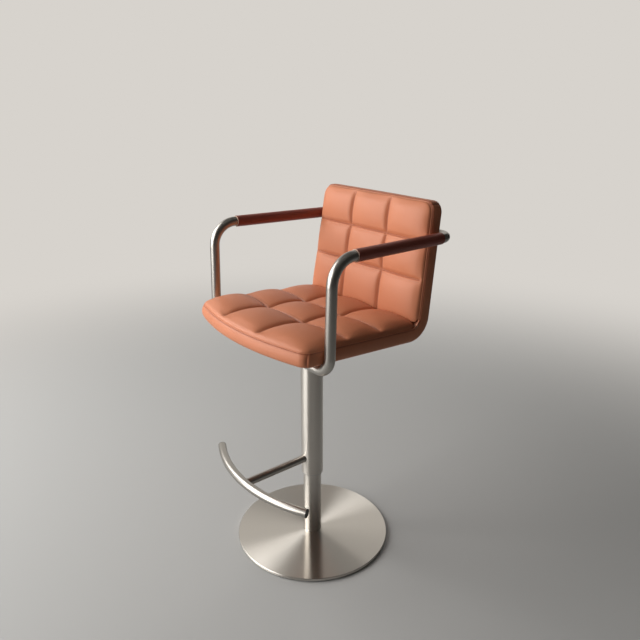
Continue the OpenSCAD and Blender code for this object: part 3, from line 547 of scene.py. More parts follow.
class ShellForm:
    """Places points of the L-shaped shell: a seat panel and a back panel, joined by a bend.

    On a panel, across is the place from side to side, along the distance from the fold, and rise the height
    above the shell's outer face.
    """

    def __init__(self):
        size = bpy.context.scene.stool_shell
        self.size = size
        self.tangent = size.bend * (1 - math.sin(size.recline)) / math.cos(size.recline)
        self.flat_y = size.rear - self.tangent
        self.inner = size.bend - size.thick
        self.bend_angle = math.pi / 2 - size.recline
        self.places = {"seat": self.on_seat, "back": self.on_back}

    def lift(self, across, y, z):
        """From the seat's own frame to the model's."""
        cos, sin = math.cos(self.size.tilt), math.sin(self.size.tilt)
        across, y, z = np.broadcast_arrays(across, y, z)
        return np.stack([across, y * cos + z * sin, self.size.under_h - y * sin + z * cos], axis=-1)

    def on_seat(self, across, along, rise):
        return self.lift(across, self.flat_y - along, rise)

    def on_back(self, across, along, rise):
        cos, sin = math.cos(self.size.recline), math.sin(self.size.recline)
        height = self.tangent + along
        return self.lift(across, self.size.rear - rise * cos + height * sin, rise * sin + height * cos)

    def on_bend(self, across, turn, rise):
        radius = self.size.bend - rise
        y = self.flat_y + radius * np.sin(turn)
        return self.lift(across, y, self.size.bend - radius * np.cos(turn))

    def panel(self, kind, inset=0.0):
        """The seat's or the back's panel, drawn in all round by inset."""
        size = self.size
        if kind == "seat":
            free_w, reach, bow, corner = size.front_w, self.flat_y + size.front, size.bow, size.seat_corner
        else:
            free_w, reach, bow, corner = size.top_w, size.back_h - self.tangent, 0.0, size.back_corner
        return Panel(size.fold_w - 2 * inset, free_w - 2 * inset, reach - inset, bow, corner)


def panel_point(p, q, panel):
    """Across and along of a panel's point: p runs across, q from the free edge (0) to the fold (1)."""
    corner = panel.corner
    width = panel.fold_w * q + panel.free_w * (1 - q)
    across = width * (p - 0.5)
    free = panel.reach - panel.bow * (2 * p - 1) ** 2
    along = free * (1 - q)
    near_side = np.maximum(0, 1 - (width / 2 - np.abs(across)) / corner)
    near_end = np.maximum(0, 1 - (free - along) / corner)
    rounded_x = np.sign(across) * (width / 2 - corner + corner * near_side * np.sqrt(1 - near_end**2 / 2))
    rounded_y = free - corner + corner * near_end * np.sqrt(1 - near_side**2 / 2)
    return np.where(near_side > 0, rounded_x, across), np.where(near_end > 0, rounded_y, along)


# ---- the cushions ----

# Settings of the cushions' cloth simulation.
CLOTH = {
    "quality": 8,
    "mass": 0.002,
    "air_damping": 4,
    "tension_stiffness": 15,
    "compression_stiffness": 15,
    "shear_stiffness": 8,
    "bending_stiffness": 3,
    "shrink_min": -0.008,
}
FILLING_FRAMES = 20
EVENINGS, OWN_PART = 6, 0.4  # how often the moves are evened out, and what each point then keeps of its own

FOLD_FROM, FOLD_SPAN = 0.8, 0.2  # the part of a panel where the cushion goes down into the fold
SIDE_POWER, FOLD_POWER, END_POWER = 8, 30, 12  # how late the crown falls towards each edge
FOLD_GAP = 0.0004  # between the two cushions, in the fold
FOOT_GAP = 0.0001  # between a cushion and the border
GATHER_H, GATHER_W, GATHER_FROM = 0.0004, 0.010, 0.003  # height and reach of the gathers beside a channel
GATHER_SCALE = 60
# Painted shade: the channels and the cushions' sides are darker in colour, as if they lay in shade.
CHANNEL_SHADE_W = 0.0020  # half the width of the dark mark along a channel
CHANNEL_SHADE, SIDE_SHADE = 0.6, 0.8  # how dark the channels and the sides are at most
SIDE_PARTS = (0.35, 0.7)  # rows of the side, as parts of its height
TUFT_POWER, FALL_POWER = 0.78, 0.6  # how full the tufts are, and their falls at both ends: less is fuller
COLUMN_STRIP = 0.6  # height of the strips between columns, against those between rows
# A strip's ridge and its dip, as parts of its width and its height.
RIDGE_AT, RIDGE_W, DIP_W, DIP_H = 0.5, 0.32, 0.2, 0.35
THREAD_R = 0.00032
ON_CHANNEL = 1e-6  # points this near to a channel are on it


def swell(piece, sewn, loose, pressure, limit):
    """Fills a sewn cover by cloth simulation: the sewn points stay, and no point moves further than limit.

    The first points of the cover are a grid. Their moves are evened out over it, and scaled by loose.
    """
    scene, mesh = bpy.context.scene, piece.data
    start = get_points(mesh)
    group = piece.vertex_groups.new(name="sewn")
    group.add([int(index) for index in sewn], 1.0, "REPLACE")
    cloth = piece.modifiers.new("Filling", "CLOTH")
    settings = cloth.settings
    for key, value in CLOTH.items():
        setattr(settings, key, value)
    settings.vertex_group_mass = "sewn"
    settings.use_pressure = True
    settings.uniform_pressure_force = pressure
    settings.effector_weights.gravity = 0
    cloth.collision_settings.use_collision = False
    cloth.collision_settings.use_self_collision = False
    cloth.point_cache.frame_start = 1
    cloth.point_cache.frame_end = FILLING_FRAMES
    for step in range(1, FILLING_FRAMES + 1):
        scene.frame_set(step)
    filled = piece.evaluated_get(bpy.context.evaluated_depsgraph_get())
    move = get_points(filled.data) - start
    for _ in range(EVENINGS):
        cells = move[: loose.size].reshape(*loose.shape, 3)
        around = cells[:-2, 1:-1] + cells[2:, 1:-1] + cells[1:-1, :-2] + cells[1:-1, 2:]
        cells[1:-1, 1:-1] = OWN_PART * cells[1:-1, 1:-1] + (1 - OWN_PART) / 4 * around
        move[sewn] = 0
    move[: loose.size] *= loose.reshape(-1, 1)
    far = np.linalg.norm(move, axis=1, keepdims=True)
    move *= np.tanh(far / limit) * limit / np.maximum(far, 1e-9)
    piece.modifiers.remove(cloth)
    piece.vertex_groups.remove(group)
    scene.frame_set(1)
    set_points(mesh, start + move)


def channel_steps(cells, cell):
    """Places from 0 to 1 that are closer together at each sewn channel."""
    one = eased(cell, 0.65)[:-1]
    return np.append(np.concatenate([(k + one) / cells for k in range(cells)]), 1.0)


def channel_gap(t, cells, span):
    """Distance from the nearest of the channels that cut span into cells, below 0 on its near side."""
    return (t * cells - np.clip(np.round(t * cells), 1, cells - 1)) * (span / cells)


def tuft_wave(t, cells, fade):
    """Two heights from 0 to 1 along one way: of the tufts, and of the fall to both ends.

    Where fade is under 1, the channels between the tufts are shallower.
    """
    wave = np.abs(np.sin(np.pi * cells * t)) ** TUFT_POWER
    outer = np.minimum(t, 1 - t) < 0.5 / cells
    return np.where(outer, 1.0, 1 - fade * (1 - wave)), np.where(outer, wave**FALL_POWER, 1.0)


def strip_height(gap, size):
    """Height of the flat strip on one side of a channel: it ends in a dip under the stitches."""
    ridge = bell(gap - RIDGE_AT * size.strip, RIDGE_W * size.strip)
    dip = bell(gap - size.strip, DIP_W * size.strip)
    return size.strip_h * (ridge - DIP_H * dip)


def tufted_cushion(name, kind):
    """A crowned cushion with sewn channels, closed underneath, that the cloth simulation fills."""
    size, form = bpy.context.scene.stool_cushions, ShellForm()
    inset, crown, puff, fade, limit = (
        getattr(size, f"{kind}_{part}") for part in ("inset", "crown", "puff", "fade", "swell")
    )
    growth = size.growth if kind == "seat" else 1.0
    panel, place, thick = form.panel(kind, inset), form.places[kind], form.size.thick
    steps = (channel_steps(cells, size.cell) for cells in (size.columns, size.rows))
    p, row = np.meshgrid(*steps, indexing="ij")
    n, m = p.shape[0] - 1, p.shape[1] - 1
    q = row ** (1 / growth)
    across, along = panel_point(p, q, panel)
    from_end = along.max(axis=1, keepdims=True) - along
    from_side = panel.fold_w * np.minimum(p, 1 - p)
    ending = np.where(q < FOLD_FROM, 0.0, ((q - FOLD_FROM) / FOLD_SPAN) ** 2)
    dome = np.sqrt(1 - np.abs(2 * p - 1) ** (SIDE_POWER + FOLD_POWER * ending))
    dome = dome * np.sqrt(1 - (1 - row) ** END_POWER)
    columns_fade, rows_fade = smooth(from_end / fade), smooth(from_side / fade)
    tuft_p, side_fall = tuft_wave(p, size.columns, columns_fade)
    tuft_row, end_fall = tuft_wave(row, size.rows, rows_fade)
    channel = tuft_p + tuft_row - 2 * tuft_p * tuft_row
    wave = side_fall * end_fall * (tuft_p * tuft_row + size.between * channel)
    rise = size.lip + crown * dome + puff * wave
    span = (form.inner - size.lip - crown - FOLD_GAP) / (size.lip + crown)
    along = along - span * (rise - size.lip) * ending

    column_gap = channel_gap(p, size.columns, panel.fold_w)
    row_gap = channel_gap(row, size.rows, panel.reach)

    def along_channels(width):
        """1 in the channels, down to 0 beside them."""
        return np.maximum(bell(column_gap, width) * columns_fade, bell(row_gap, width) * rows_fade)

    beside = np.minimum(np.abs(column_gap), np.abs(row_gap))
    flat = np.stack([across, along, 0 * along], axis=-1).reshape(-1, 3)
    gather = GATHER_H * gathers(flat, GATHER_SCALE).reshape(p.shape)
    rise = rise + gather * np.exp(-beside / GATHER_W) * np.minimum(1, beside / GATHER_FROM) * dome
    top = place(across, along, thick + rise).reshape(-1, 3)
    # Painted shade along the channels.
    painted_shade = list((CHANNEL_SHADE * along_channels(CHANNEL_SHADE_W)).ravel())

    # The side goes down from the rim to the foot, which lies on the border. It gets painted shade, darker
    # towards the foot, and the foot is the darkest.
    rim = rim_of(np.arange(p.size).reshape(p.shape))
    rim_x, rim_y, rim_rise = across.ravel()[rim], along.ravel()[rim], rise.ravel()[rim]
    way = unit(np.stack([rim_x, rim_y - panel.reach / 2], axis=-1))
    skin, before = Bundle(), rim
    skin.add(top, grid_faces(n, m))
    for part in SIDE_PARTS:
        drawn = size.draw * part**2
        side_y = np.where(rim_y < 0, rim_y * (1 - part**1.5), np.maximum(rim_y - way[:, 1] * drawn, 0))
        side = place(rim_x - way[:, 0] * drawn, side_y, thick + rim_rise * (1 - part) + FOOT_GAP)
        before = skin.ring(before, side)
        painted_shade += [SIDE_SHADE * part] * len(rim)
    skin.faces += band(before, rim + skin.size)
    foot_x, foot_y = panel_point(p, q, form.panel(kind, inset + size.draw))
    skin.add(place(foot_x, foot_y, thick + FOOT_GAP).reshape(-1, 3), grid_faces(n, m))
    painted_shade += [SIDE_SHADE] * len(top)
    piece = skin.make(name, [finish("tan")], painted_shade)

    held = (np.abs(column_gap) < ON_CHANNEL) & (columns_fade > 0.5)
    held |= (np.abs(row_gap) < ON_CHANNEL) & (rows_fade > 0.5)
    held[[0, -1], :] = True
    held[:, [0, -1]] = True
    sewn = list(np.flatnonzero(held)) + list(range(len(top), len(painted_shade)))
    loose = smooth(np.minimum(from_end, from_side) / size.held_edge)
    swell(piece, sewn, loose, size.pressure, limit)

    # The flat strip beside each channel, with its row of stitches, comes after the filling.
    up = place(0, 0, 1) - place(0, 0, 0)
    lifted = strip_height(row_gap, size) * rows_fade - size.groove * along_channels(size.groove_w)
    lifted += COLUMN_STRIP * strip_height(column_gap, size) * columns_fade
    points = get_points(piece.data)
    points[: len(top)] += (lifted * dome).reshape(-1, 1) * up
    set_points(piece.data, points)
    surface = points[: len(top)].reshape(n + 1, m + 1, 3)
    stitches = Bundle()
    for k in range(1, size.rows):
        at = k / size.rows + size.strip / panel.reach
        stitches.sew([point_at(at, row[0], line) for line in surface[1:n]], up, size.pitch, THREAD_R)
    for k in range(1, size.columns):
        at = k / size.columns + size.strip / panel.fold_w
        lines = surface.swapaxes(0, 1)[1 : m - 4]
        stitches.sew([point_at(at, p[:, 0], line) for line in lines], up, size.pitch, THREAD_R)
    thread = stitches.make(name + "_stitches", [finish("thread")])
    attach(thread, "seat")

    finer = piece.modifiers.new("Smooth", "SUBSURF")
    finer.levels = finer.render_levels = 1
    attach(piece, "seat")
    return piece


class Cushions(bpy.types.Operator):
    """Makes the tufted seat cushion and the tufted back cushion"""

    bl_idname = "stool.cushions"
    bl_label = "Cushions"

    def execute(self, context):
        piece = tufted_cushion("seat_pad", "seat")
        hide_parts("seat_cushion")
        piece = tufted_cushion("back_pad", "back")
        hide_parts("back_cushion")
        return {"FINISHED"}


# ---- the border and its seams ----

# Points where the straight runs of each arm tube would meet, the radii of its bends and its outer radius.
ARM_CORNERS = (
    (0.110, -0.14106, 0.62813),
    (0.245, -0.14106, 0.62813),
    (0.245, -0.13338, 0.887),
    (0.224875, 0.25452, 0.87921),
    (0.110, 0.25452, 0.87921),
)
ARM_BENDS = (0.038, 0.060, 0.031)
ARM_RADIUS = 0.0125

ROLL_R = 0.005  # radius of the roll along the border's lower edge
LEAST_BULGE = 0.4  # the band's bulge at the back, as a part of the bulge at the seat's front
# Painted shade: a dark band in the border's colour just under its seam, and a dark line down each upright
# seam.
SEAM_SHADE, SEAM_SHADE_W = 0.9, 0.0024  # the dark line along the seam, and how far it reaches down the border
# An upright seam: how much of the bulge it takes away, and the swelling beside it.
PULL, PULL_W, PUFF, PUFF_AT, PUFF_W = 0.42, 0.0022, 0.06, 0.008, 0.004
UPRIGHT_SHADE_W = 0.0014  # half the width of an upright seam's dark line
FOLD_PITCH, FOLD_H, FOLD_AT = 0.0055, 0.0004, 0.004  # the small folds beside an upright seam
UNEVEN, UNEVEN_SCALE = 0.06, 45  # how unevenly the band is filled
OUT_STEP = 0.004  # the way out from the edge is taken over this distance
FULL_FROM, FULL_SPAN = 0.2, 0.6  # how far forwards the way out turns while the band gets fuller
CORD_UP, CORD_SIDES = 0.0003, 8  # how far the cord's middle is above the seam

# The stitches in the fold: places along the bend, how far out and up each end is, and the way they rise.
PINCHES, PINCH_R = np.linspace(0.3, 0.7, 5), 0.0005
PINCH_ENDS, PINCH_WAY = ((0.0012, -0.0035), (-0.0030, 0.0022)), (0.6, -0.55, 0.55)


class BorderForm:
    """The border under the cushions: a slab that follows the seat, the bend and the back."""

    def __init__(self, columns=72, seat_rows=58, bend_rows=12, back_rows=46):
        self.form = ShellForm()
        self.across = eased(columns)
        self.stations = [("seat", q) for q in eased(seat_rows)]
        self.stations += [("bend", a) for a in np.linspace(0, self.form.bend_angle, bend_rows + 1)[1:-1]]
        self.stations += [("back", q) for q in eased(back_rows)[::-1]]
        self.columns = columns
        places = np.arange(len(self.stations) * (columns + 1)).reshape(-1, columns + 1)
        self.rim = rim_of(places.T)
        self.kinds = np.array([self.stations[k // (columns + 1)][0] for k in self.rim])

    def grid(self, inset, rise):
        """Points of every station, at one inset from the edges and one height above the outer face."""
        form, p = self.form, self.across
        rows = []
        for kind, value in self.stations:
            if kind == "bend":
                rows.append(form.on_bend((form.size.fold_w - 2 * inset) * (p - 0.5), value, rise))
            else:
                across, along = panel_point(p, np.full_like(p, value), form.panel(kind, inset))
                rows.append(form.places[kind](across, along, rise))
        return np.concatenate(rows)

    def edge(self, inset, rise):
        """Points round the edge."""
        return self.grid(inset, rise)[self.rim]

    def seam_places(self):
        """Where the upright seams are: at the seat's front corners and the back's top corners."""
        edge = self.edge(0, self.form.size.thick / 2)
        places = []
        for kind, forward in (("seat", -0.7 * edge[:, 1]), ("back", edge[:, 2])):
            for side in (-1, 1):
                places.append(int(np.argmax(np.where(self.kinds == kind, side * edge[:, 0] + forward, -9))))
        return places


def rounded_path(corners, radii, steps=12):
    """A path through corners that are rounded to the given radii."""
    corners = [np.asarray(corner) for corner in corners]
    path = [corners[0]]
    for before, corner, after, radius in zip(corners, corners[1:], corners[2:], radii):
        back, ahead = unit(before - corner), unit(after - corner)
        half = math.acos(float(np.dot(back, ahead))) / 2
        centre = corner + unit(back + ahead) * radius / math.sin(half)
        start, end = corner + back * radius / math.tan(half), corner + ahead * radius / math.tan(half)
        for part in np.linspace(0, 1, steps + 1):
            path.append(centre + radius * unit((start - centre) * (1 - part) + (end - centre) * part))
    return np.array(path + [corners[-1]])


def keep_off(points, path, room):
    """Moves the points that are nearer to a path than room straight away from it."""
    points = points.copy()
    nearest = np.full(len(points), 9.0)
    away = np.zeros_like(points)
    for start, end in zip(path[:-1], path[1:]):
        run = end - start
        part = np.clip((points - start) @ run / (run @ run), 0, 1)
        gap = points - start - part[:, None] * run
        far = np.linalg.norm(gap, axis=1)
        closer = far < nearest
        nearest[closer], away[closer] = far[closer], gap[closer]
    near = nearest < room
    points[near] += unit(away[near]) * (room - nearest[near])[:, None]
    return points


def border_profile(size):
    """Inset and rise of each row, from the flat underside, round the roll and up to the seam."""
    drop, top = size.roll_drop, size.thick - size.edge
    profile = []
    for part in (0.0, 0.25, 0.5, 0.75, 1.0):
        inset = size.roll_w + (ROLL_R - size.roll_w) * part
        profile.append((inset, -drop * math.sin(math.pi / 2 * part) ** 1.5))
    for turn in np.radians((22, 45, 68, 90)):
        profile.append((ROLL_R * (1 - math.sin(turn)), -drop + (ROLL_R + drop) * (1 - math.cos(turn))))
    profile += [(0.0, rise) for rise in np.linspace(ROLL_R, top, 8)[1:-1]]
    for turn in np.radians((0, 30, 60, 90)):
        profile.append((size.edge * (1 - math.cos(turn)), size.thick - size.edge * (1 - math.sin(turn))))
    return profile


class ShellBorder(bpy.types.Operator):
    """Makes the leather border that wraps the shell's edge, underside and rear"""

    bl_idname = "stool.shell_border"
    bl_label = "Shell border"

    def execute(self, context):
        size = context.scene.stool_shell
        border = BorderForm()
        edge = border.edge(0, size.thick / 2)
        outward = unit(edge - border.edge(OUT_STEP, size.thick / 2))
        # The upright seams pull the wall in, with small folds beside them, and each gets a line of painted
        # shade.
        pull, seam, pucker = np.ones(len(edge)), np.zeros(len(edge)), np.zeros(len(edge))
        steps = np.linalg.norm(np.roll(edge, -1, axis=0) - edge, axis=1)
        run = np.concatenate([[0], np.cumsum(steps)[:-1]])
        total = steps.sum()
        for corner in border.seam_places():
            gap = np.abs((run - run[corner] + total / 2) % total - total / 2)
            pull -= PULL * bell(gap, PULL_W) - PUFF * bell(gap - PUFF_AT, PUFF_W)
            seam += SEAM_SHADE * bell(gap, UPRIGHT_SHADE_W)
            pucker += bell(gap - FOLD_AT, FOLD_AT)
        pull += UNEVEN * gathers(edge, UNEVEN_SCALE)
        # The band is fullest along the seat's front, where the way out is forwards.
        full = LEAST_BULGE + (1 - LEAST_BULGE) * smooth((-outward[:, 1] - FULL_FROM) / FULL_SPAN)
        skin, painted_shade = Bundle(), []
        grids = [border.grid(size.roll_w, 0.0), border.grid(size.edge, size.thick)]
        for grid in grids:
            skin.add(grid, grid_faces(len(border.stations) - 1, border.columns))
            painted_shade += [0.0] * len(grid)
        before = border.rim
        for drawn, rise in border_profile(size)[1:-1]:
            height = (rise + size.roll_drop) / (size.thick + size.roll_drop)
            swollen = size.bulge * math.sin(math.pi * min(1.0, max(0.0, height))) ** 0.8 * full
            fold = FOLD_H * math.sin(rise * 2 * math.pi / FOLD_PITCH) * pucker
            out = outward * (swollen * pull + fold)[:, None]
            before = skin.ring(before, border.edge(drawn, rise) + out)
            # Painted shade, darkest just under the seam.
            shade = bell(size.thick - rise, SEAM_SHADE_W) * SEAM_SHADE
            painted_shade += list(np.minimum(1.0, shade + seam))
        skin.faces += band(before, border.rim + len(grids[0]))
        points = np.concatenate(skin.points)
        for side in (1, -1):
            arm = rounded_path(ARM_CORNERS, ARM_BENDS) * (side, 1, 1)
            points = keep_off(points, arm, ARM_RADIUS + size.tube_gap)
        piece = make_piece("upholstered_border", points, skin.faces, [finish("tan")], painted_shade)
        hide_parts("shell_border")
        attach(piece, "seat")
        return {"FINISHED"}


class Seams(bpy.types.Operator):
    """Makes the cord in the seam round the shell, and the stitches at the ends of the fold"""

    bl_idname = "stool.seams"
    bl_label = "Seams"

    def execute(self, context):
        size, cushions = context.scene.stool_shell, context.scene.stool_cushions
        border, cord = BorderForm(), Bundle()
        on_seat, on_back = (
            border.edge(inset, size.thick + CORD_UP) for inset in (cushions.seat_inset, cushions.back_inset)
        )
        path = np.where((border.kinds == "back")[:, None], on_back, on_seat)
        cord.add(*tube_mesh(path, size.seam_r, CORD_SIDES, closed=True))
        piece = cord.make("seam_cord", [finish("tan")])
        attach(piece, "seat")
        # A few stitches pinch the two cushions together at each end of the fold.
        pinch = Bundle()
        for side in (-1, 1):
            way = np.multiply(PINCH_WAY, (side, 1, 1))
            for turn in PINCHES * border.form.bend_angle:
                start, end = (
                    border.form.on_bend(side * (size.fold_w / 2 + out), turn, size.thick + rise)
                    for out, rise in PINCH_ENDS
                )
                pinch.stitch(start, end, way, PINCH_R)
        piece = pinch.make("pinch_stitches", [finish("light_thread")])
        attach(piece, "seat")
        return {"FINISHED"}


# ---- the sleeves of the arms ----

SLEEVE_SIDES, SLEEVE_RINGS = 64, 90
BORE_FIT = 0.0002  # how far the sleeve's bore reaches into the tube
CUT_ROUND = 0.0009  # rounding of the cut edges
WAVE_H, WAVE_SCALE = 0.00018, 38  # slight waves of the leather along the sleeve
# Turns from the seam's ridge, which is underneath, to its valley, its line of painted shade and its row of
# stitches.
VALLEY_TURN, SHADE_LINE_TURN, STITCH_TURN = 0.17, 0.16, 0.33
RIDGE_WIDE, VALLEY_WIDE, SHADE_LINE_WIDE = 0.07, 0.06, 0.05  # half the width of each, as a turn
VALLEY_H = 0.6  # depth of the valley, against the ridge's height
STITCH_END = 0.004  # from a cut edge to the first stitch
STITCH_PART, STITCH_R = 0.68, 0.00035  # length of a stitch, as a part of the pitch, and radius of its thread
END_SLICE = 0.001  # points this near to a tube's end belong to its end face


def tube_axis(node):
    """The two ends of a straight tube's axis, and its outer radius, read from its node."""
    points = get_points(frame["nodes"][node].data)
    way = np.linalg.svd(points - points.mean(axis=0), full_matrices=False)[2][0]
    way = way if way[1] > 0 else -way
    reach = points @ way
    ends = []
    for chosen in (reach < reach.min() + END_SLICE, reach > reach.max() - END_SLICE):
        face = points[chosen]
        ends.append((face.min(axis=0) + face.max(axis=0)) / 2)
    radius = np.linalg.norm(np.cross(points - ends[0], way), axis=1).max()
    return ends[0], ends[1], radius


class ArmSleeves(bpy.types.Operator):
    """Makes the leather sleeves of the armrests, with a sewn seam underneath and cut edges"""

    bl_idname = "stool.arm_sleeves"
    bl_label = "Arm sleeves"

    def execute(self, context):
        for side in ("left", "right"):
            self.sleeve(context.scene.stool_sleeves, side)
        return {"FINISHED"}

    def sleeve(self, size, side):
        front, rear, outer = tube_axis("arm_sleeve_" + side)
        way = unit(rear - front)
        span = np.linalg.norm(rear - front)
        inner = outer - size.wall + BORE_FIT
        level = unit(np.cross(way, (0, 0, 1)))
        down = np.cross(way, level)
        down = down if down[2] < 0 else -down
        # Stations along the sleeve: inner bore, cut edge, outside, cut edge, inner bore.
        corner = 0.3 * CUT_ROUND
        ends = [(0.0, inner), (0.0, outer - CUT_ROUND), (corner, outer - corner), (CUT_ROUND, outer)]
        body = [(place, outer) for place in np.linspace(CUT_ROUND, span - CUT_ROUND, SLEEVE_RINGS)[1:-1]]
        stations = ends + body + [(span - place, r) for place, r in ends[::-1]]
        turns = np.linspace(0, 2 * np.pi, SLEEVE_SIDES, endpoint=False)
        past = turns - np.pi
        ridge = bell(past, RIDGE_WIDE) - VALLEY_H * bell(past - VALLEY_TURN, VALLEY_WIDE)
        ways = -np.cos(turns)[:, None] * down + np.sin(turns)[:, None] * level
        points, painted_shade = [], []
        for place, r in stations:
            wave = gathers([(place * WAVE_SCALE, math.cos(a) * 2, math.sin(a) * 2) for a in turns], 1)
            full = 1.0 if r == outer else 0.0
            radii = r + full * (WAVE_H * wave + size.seam_h * ridge)
            points.append(front + way * place + radii[:, None] * ways)
            # Painted shade: a dark line in the colour along the seam's valley.
            painted_shade += list(full * bell(past - SHADE_LINE_TURN, SHADE_LINE_WIDE))
        rings = len(stations)
        faces = tube_faces(rings, SLEEVE_SIDES, closed=True)
        materials = [finish("sleeve"), finish("cut_edge")]
        piece = make_piece("sleeve_" + side, np.concatenate(points), faces, materials, painted_shade)
        for k, face in enumerate(piece.data.polygons):
            if k // SLEEVE_SIDES in (0, 1, rings - 3, rings - 2):
                face.material_index = 1
        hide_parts("arm_sleeve_" + side)
        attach(piece, "seat")
        stitches = Bundle()
        turn = math.pi + STITCH_TURN
        out = -math.cos(turn) * down + math.sin(turn) * level
        for k in range(int((span - 2 * STITCH_END) / size.pitch)):
            start = front + way * (STITCH_END + k * size.pitch) + out * outer
            stitches.stitch(start, start + way * size.pitch * STITCH_PART, out, STITCH_R)
        thread = stitches.make("sleeve_stitches_" + side, [finish("thread")])
        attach(thread, "seat")


class FrameFinishes(bpy.types.Operator):
    """Gives every carried-over part its finish"""

    bl_idname = "stool.frame_finishes"
    bl_label = "Frame finishes"

    def execute(self, context):
        own = {"base_plate": "disc", "column_tube": "column", "cover_tube": "column"}
        for part in frame["record"]["subparts"]:
            kind = own.get(part["node"], part["material_slot"])
            if kind in ("tan_upholstery", "sleeve_leather"):
                continue
            for slot in frame["nodes"][part["node"]].material_slots:
                slot.material = finish(kind)
        return {"FINISHED"}


# ---- the studio ----

# Each lamp's place, its width, its share of the main lamp's power, and whether it shines in the steel.
LAMPS = {
    "main_lamp": ((-1.15, -3.30, 1.50), 3.0, 1.0, True),
    "side_lamp": ((-2.25, -1.35, 1.6), 1.1, 0.11, True),
    "top_lamp": ((-1.5, -1.3, 2.2), 1.6, 0.25, True),
    "rear_lamp": ((-1.5, 2.9, 1.7), 2.2, 0.30, False),
}
LAMP_AIM = Vector((0, 0, 0.55))
LAMP_SHADE = (1.0, 0.985, 0.965)
SKY_SHADE = (1.0, 0.985, 0.96, 1)

# The screens: a wall round the shaded side, between two azimuths in degrees, and a ceiling.
WALL_RADIUS, WALL_H, WALL_FOOT, WALL_TURNS, WALL_STEPS = 3.4, 4.0, 0.01, (-74, 104), 16
CEILING_H, CEILING = 4.3, ((-3.1, -3.7), (3.7, -3.7), (3.7, 3.1), (-3.1, 3.1))

FLOOR_RADII, FLOOR_SIDES = (0.6, 1.5, 4.0, 12.0, 40.0), 64
HORIZON = (0.9, 3.2)  # between these distances from the column the floor turns into the background

# The photograph's camera. Its focal length is for a picture of this width, its place for an azimuth of 0.
AZIMUTH, PITCH = math.radians(51.49), math.radians(19.946)
FOCAL, PICTURE, SENSOR = 638.38, 640, 36.0
CAMERA_PLACE = (0.02166, -1.5574, 1.2210)


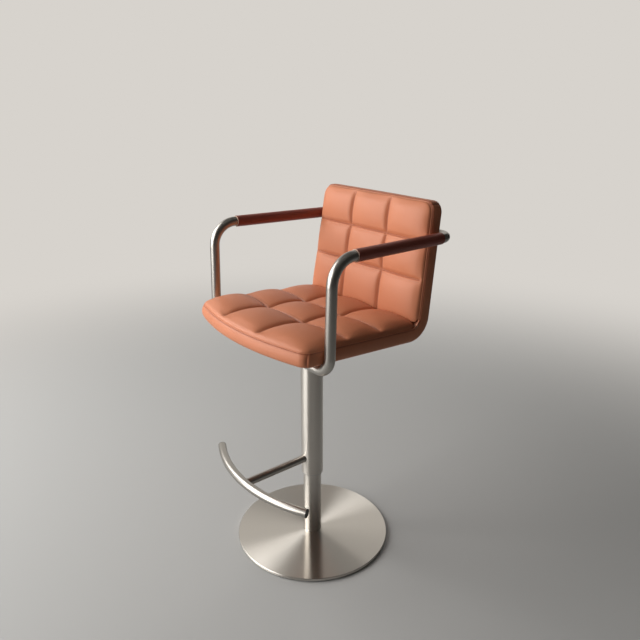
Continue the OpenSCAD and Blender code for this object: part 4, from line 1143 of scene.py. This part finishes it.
class Studio(bpy.types.Operator):
    """Makes the floor, the background, the lamps and the camera"""

    bl_idname = "stool.studio"
    bl_label = "Studio"

    def execute(self, context):
        studio = context.scene.stool_studio
        self.make_floor(studio)
        self.make_world(context.scene, studio)
        for name, (place, width, share, shines) in LAMPS.items():
            self.make_lamp(name, Vector(place), width, studio.key * share, shines)
        self.make_screens(studio)
        self.make_camera(context.scene)
        context.scene.view_settings.view_transform = "Standard"
        return {"FINISHED"}

    def make_floor(self, studio):
        """A plain floor that the camera sees turn into the background far from the stool."""
        turns = 2 * math.pi * np.arange(FLOOR_SIDES) / FLOOR_SIDES
        ways = np.stack([np.cos(turns), np.sin(turns), 0 * turns], axis=-1)
        points = np.concatenate([[(0, 0, 0)]] + [radius * ways for radius in FLOOR_RADII])
        faces = [(0, 1 + k, 1 + (k + 1) % FLOOR_SIDES) for k in range(FLOOR_SIDES)]
        faces += [[k + 1 for k in face[::-1]] for face in tube_faces(len(FLOOR_RADII), FLOOR_SIDES)]
        surface = Finish("studio_floor", studio.floor, rough=0.7, Specular_IOR_Level=0.2)
        at = surface.node("TexCoord", out="Object")
        reach = surface.node("VectorMath", {"operation": "LENGTH"}, {0: at}, out="Value")
        inputs = {"Value": reach, 1: HORIZON[0], 2: HORIZON[1]}
        far = surface.node("MapRange", {"interpolation_type": "SMOOTHERSTEP"}, inputs)
        seen = surface.node("LightPath", out="Is Camera Ray")
        plain = Value(surface, surface.shader.outputs[0])
        glow = surface.node("Emission", None, {"Color": (*studio.backdrop, 1)})
        mix = surface.node("MixShader", None, {0: far * seen, 1: plain, 2: glow})
        surface.tree.links.new(mix.socket, surface.tree.nodes["Material Output"].inputs["Surface"])
        floor = make_piece("floor", points, faces, [surface.material])

    def make_world(self, scene, studio):
        """Even light from all round. The camera and the steel see the background's plain colour instead."""
        scene.world = bpy.data.worlds.new("studio")
        scene.world.use_nodes = True
        world = Nodes(scene.world.node_tree)
        world.tree.nodes.clear()
        seen = world.node("LightPath", out="Is Camera Ray")
        for kind in ("Is Glossy Ray", "Is Transmission Ray"):
            seen = seen.math("MAXIMUM", world.node("LightPath", out=kind))
        light = world.node("Background", None, {"Color": SKY_SHADE, "Strength": studio.ambient})
        shown = world.node("Background", None, {"Color": (*studio.backdrop, 1)})
        mix = world.node("MixShader", None, {0: seen, 1: light, 2: shown})
        world.node("OutputWorld", None, {"Surface": mix})

    def make_lamp(self, name, place, width, power, shines):
        data = bpy.data.lights.new(name, "AREA")
        data.shape = "SQUARE"
        data.size = width
        data.energy = power
        data.color = LAMP_SHADE
        lamp = bpy.data.objects.new(name, data)
        bpy.context.scene.collection.objects.link(lamp)
        lamp.location = place
        lamp.rotation_mode = "QUATERNION"
        lamp.rotation_quaternion = (place - LAMP_AIM).to_track_quat("Z", "Y")
        lamp.visible_glossy = shines

    def make_screens(self, studio):
        """A dark wall and a grey ceiling, unseen by the camera, that keep light off the shaded side."""
        turns = np.radians(np.linspace(*WALL_TURNS, WALL_STEPS + 1))
        ring = WALL_RADIUS * np.stack([np.cos(turns), np.sin(turns), 0 * turns], axis=-1)
        wall = np.concatenate([ring + (0, 0, height) for height in (WALL_FOOT, WALL_FOOT + WALL_H)])
        ceiling = [(x, y, CEILING_H) for x, y in CEILING]
        for name, points, faces, shade in (
            ("dark_wall", wall, grid_faces(1, WALL_STEPS), studio.screen),
            ("dark_ceiling", ceiling, [(0, 1, 2, 3)], studio.ceiling),
        ):
            screen = make_piece(name, points, faces, [Finish("studio_" + name, shade, rough=0.9).material])
            screen.visible_camera = False

    def make_camera(self, scene):
        data = bpy.data.cameras.new("camera")
        data.sensor_width = SENSOR
        data.lens = SENSOR * FOCAL / PICTURE
        camera = bpy.data.objects.new("camera", data)
        scene.collection.objects.link(camera)
        camera.location = Matrix.Rotation(AZIMUTH, 3, "Z") @ Vector(CAMERA_PLACE)
        camera.rotation_euler = (math.pi / 2 - PITCH, 0, AZIMUTH)
        scene.camera = camera


# ---- panel and registration ----

STEPS = (FrameFinishes, ShellBorder, Cushions, Seams, ArmSleeves, Studio)


class StoolPanel(bpy.types.Panel):
    """Lists the sizes, the colours and the steps"""

    bl_idname = "VIEW3D_PT_stool"
    bl_label = "Bar stool"
    bl_space_type = "VIEW_3D"
    bl_region_type = "UI"
    bl_category = "Stool"

    def draw(self, context):
        for key in GROUPS:
            group = getattr(context.scene, key)
            box = self.layout.box()
            for name in group.__annotations__:
                box.prop(group, name)
        for step in STEPS:
            self.layout.operator(step.bl_idname)


def register():
    for kind in (*GROUPS.values(), *STEPS, StoolPanel):
        bpy.utils.register_class(kind)
    for key, group in GROUPS.items():
        setattr(bpy.types.Scene, key, PointerProperty(type=group))


def unregister():
    for key in GROUPS:
        delattr(bpy.types.Scene, key)
    for kind in (StoolPanel, *STEPS, *GROUPS.values()):
        bpy.utils.unregister_class(kind)


def main():
    register()
    for step in STEPS:
        family, name = step.bl_idname.split(".")
        getattr(getattr(bpy.ops, family), name)()


if __name__ == "__main__":
    main()
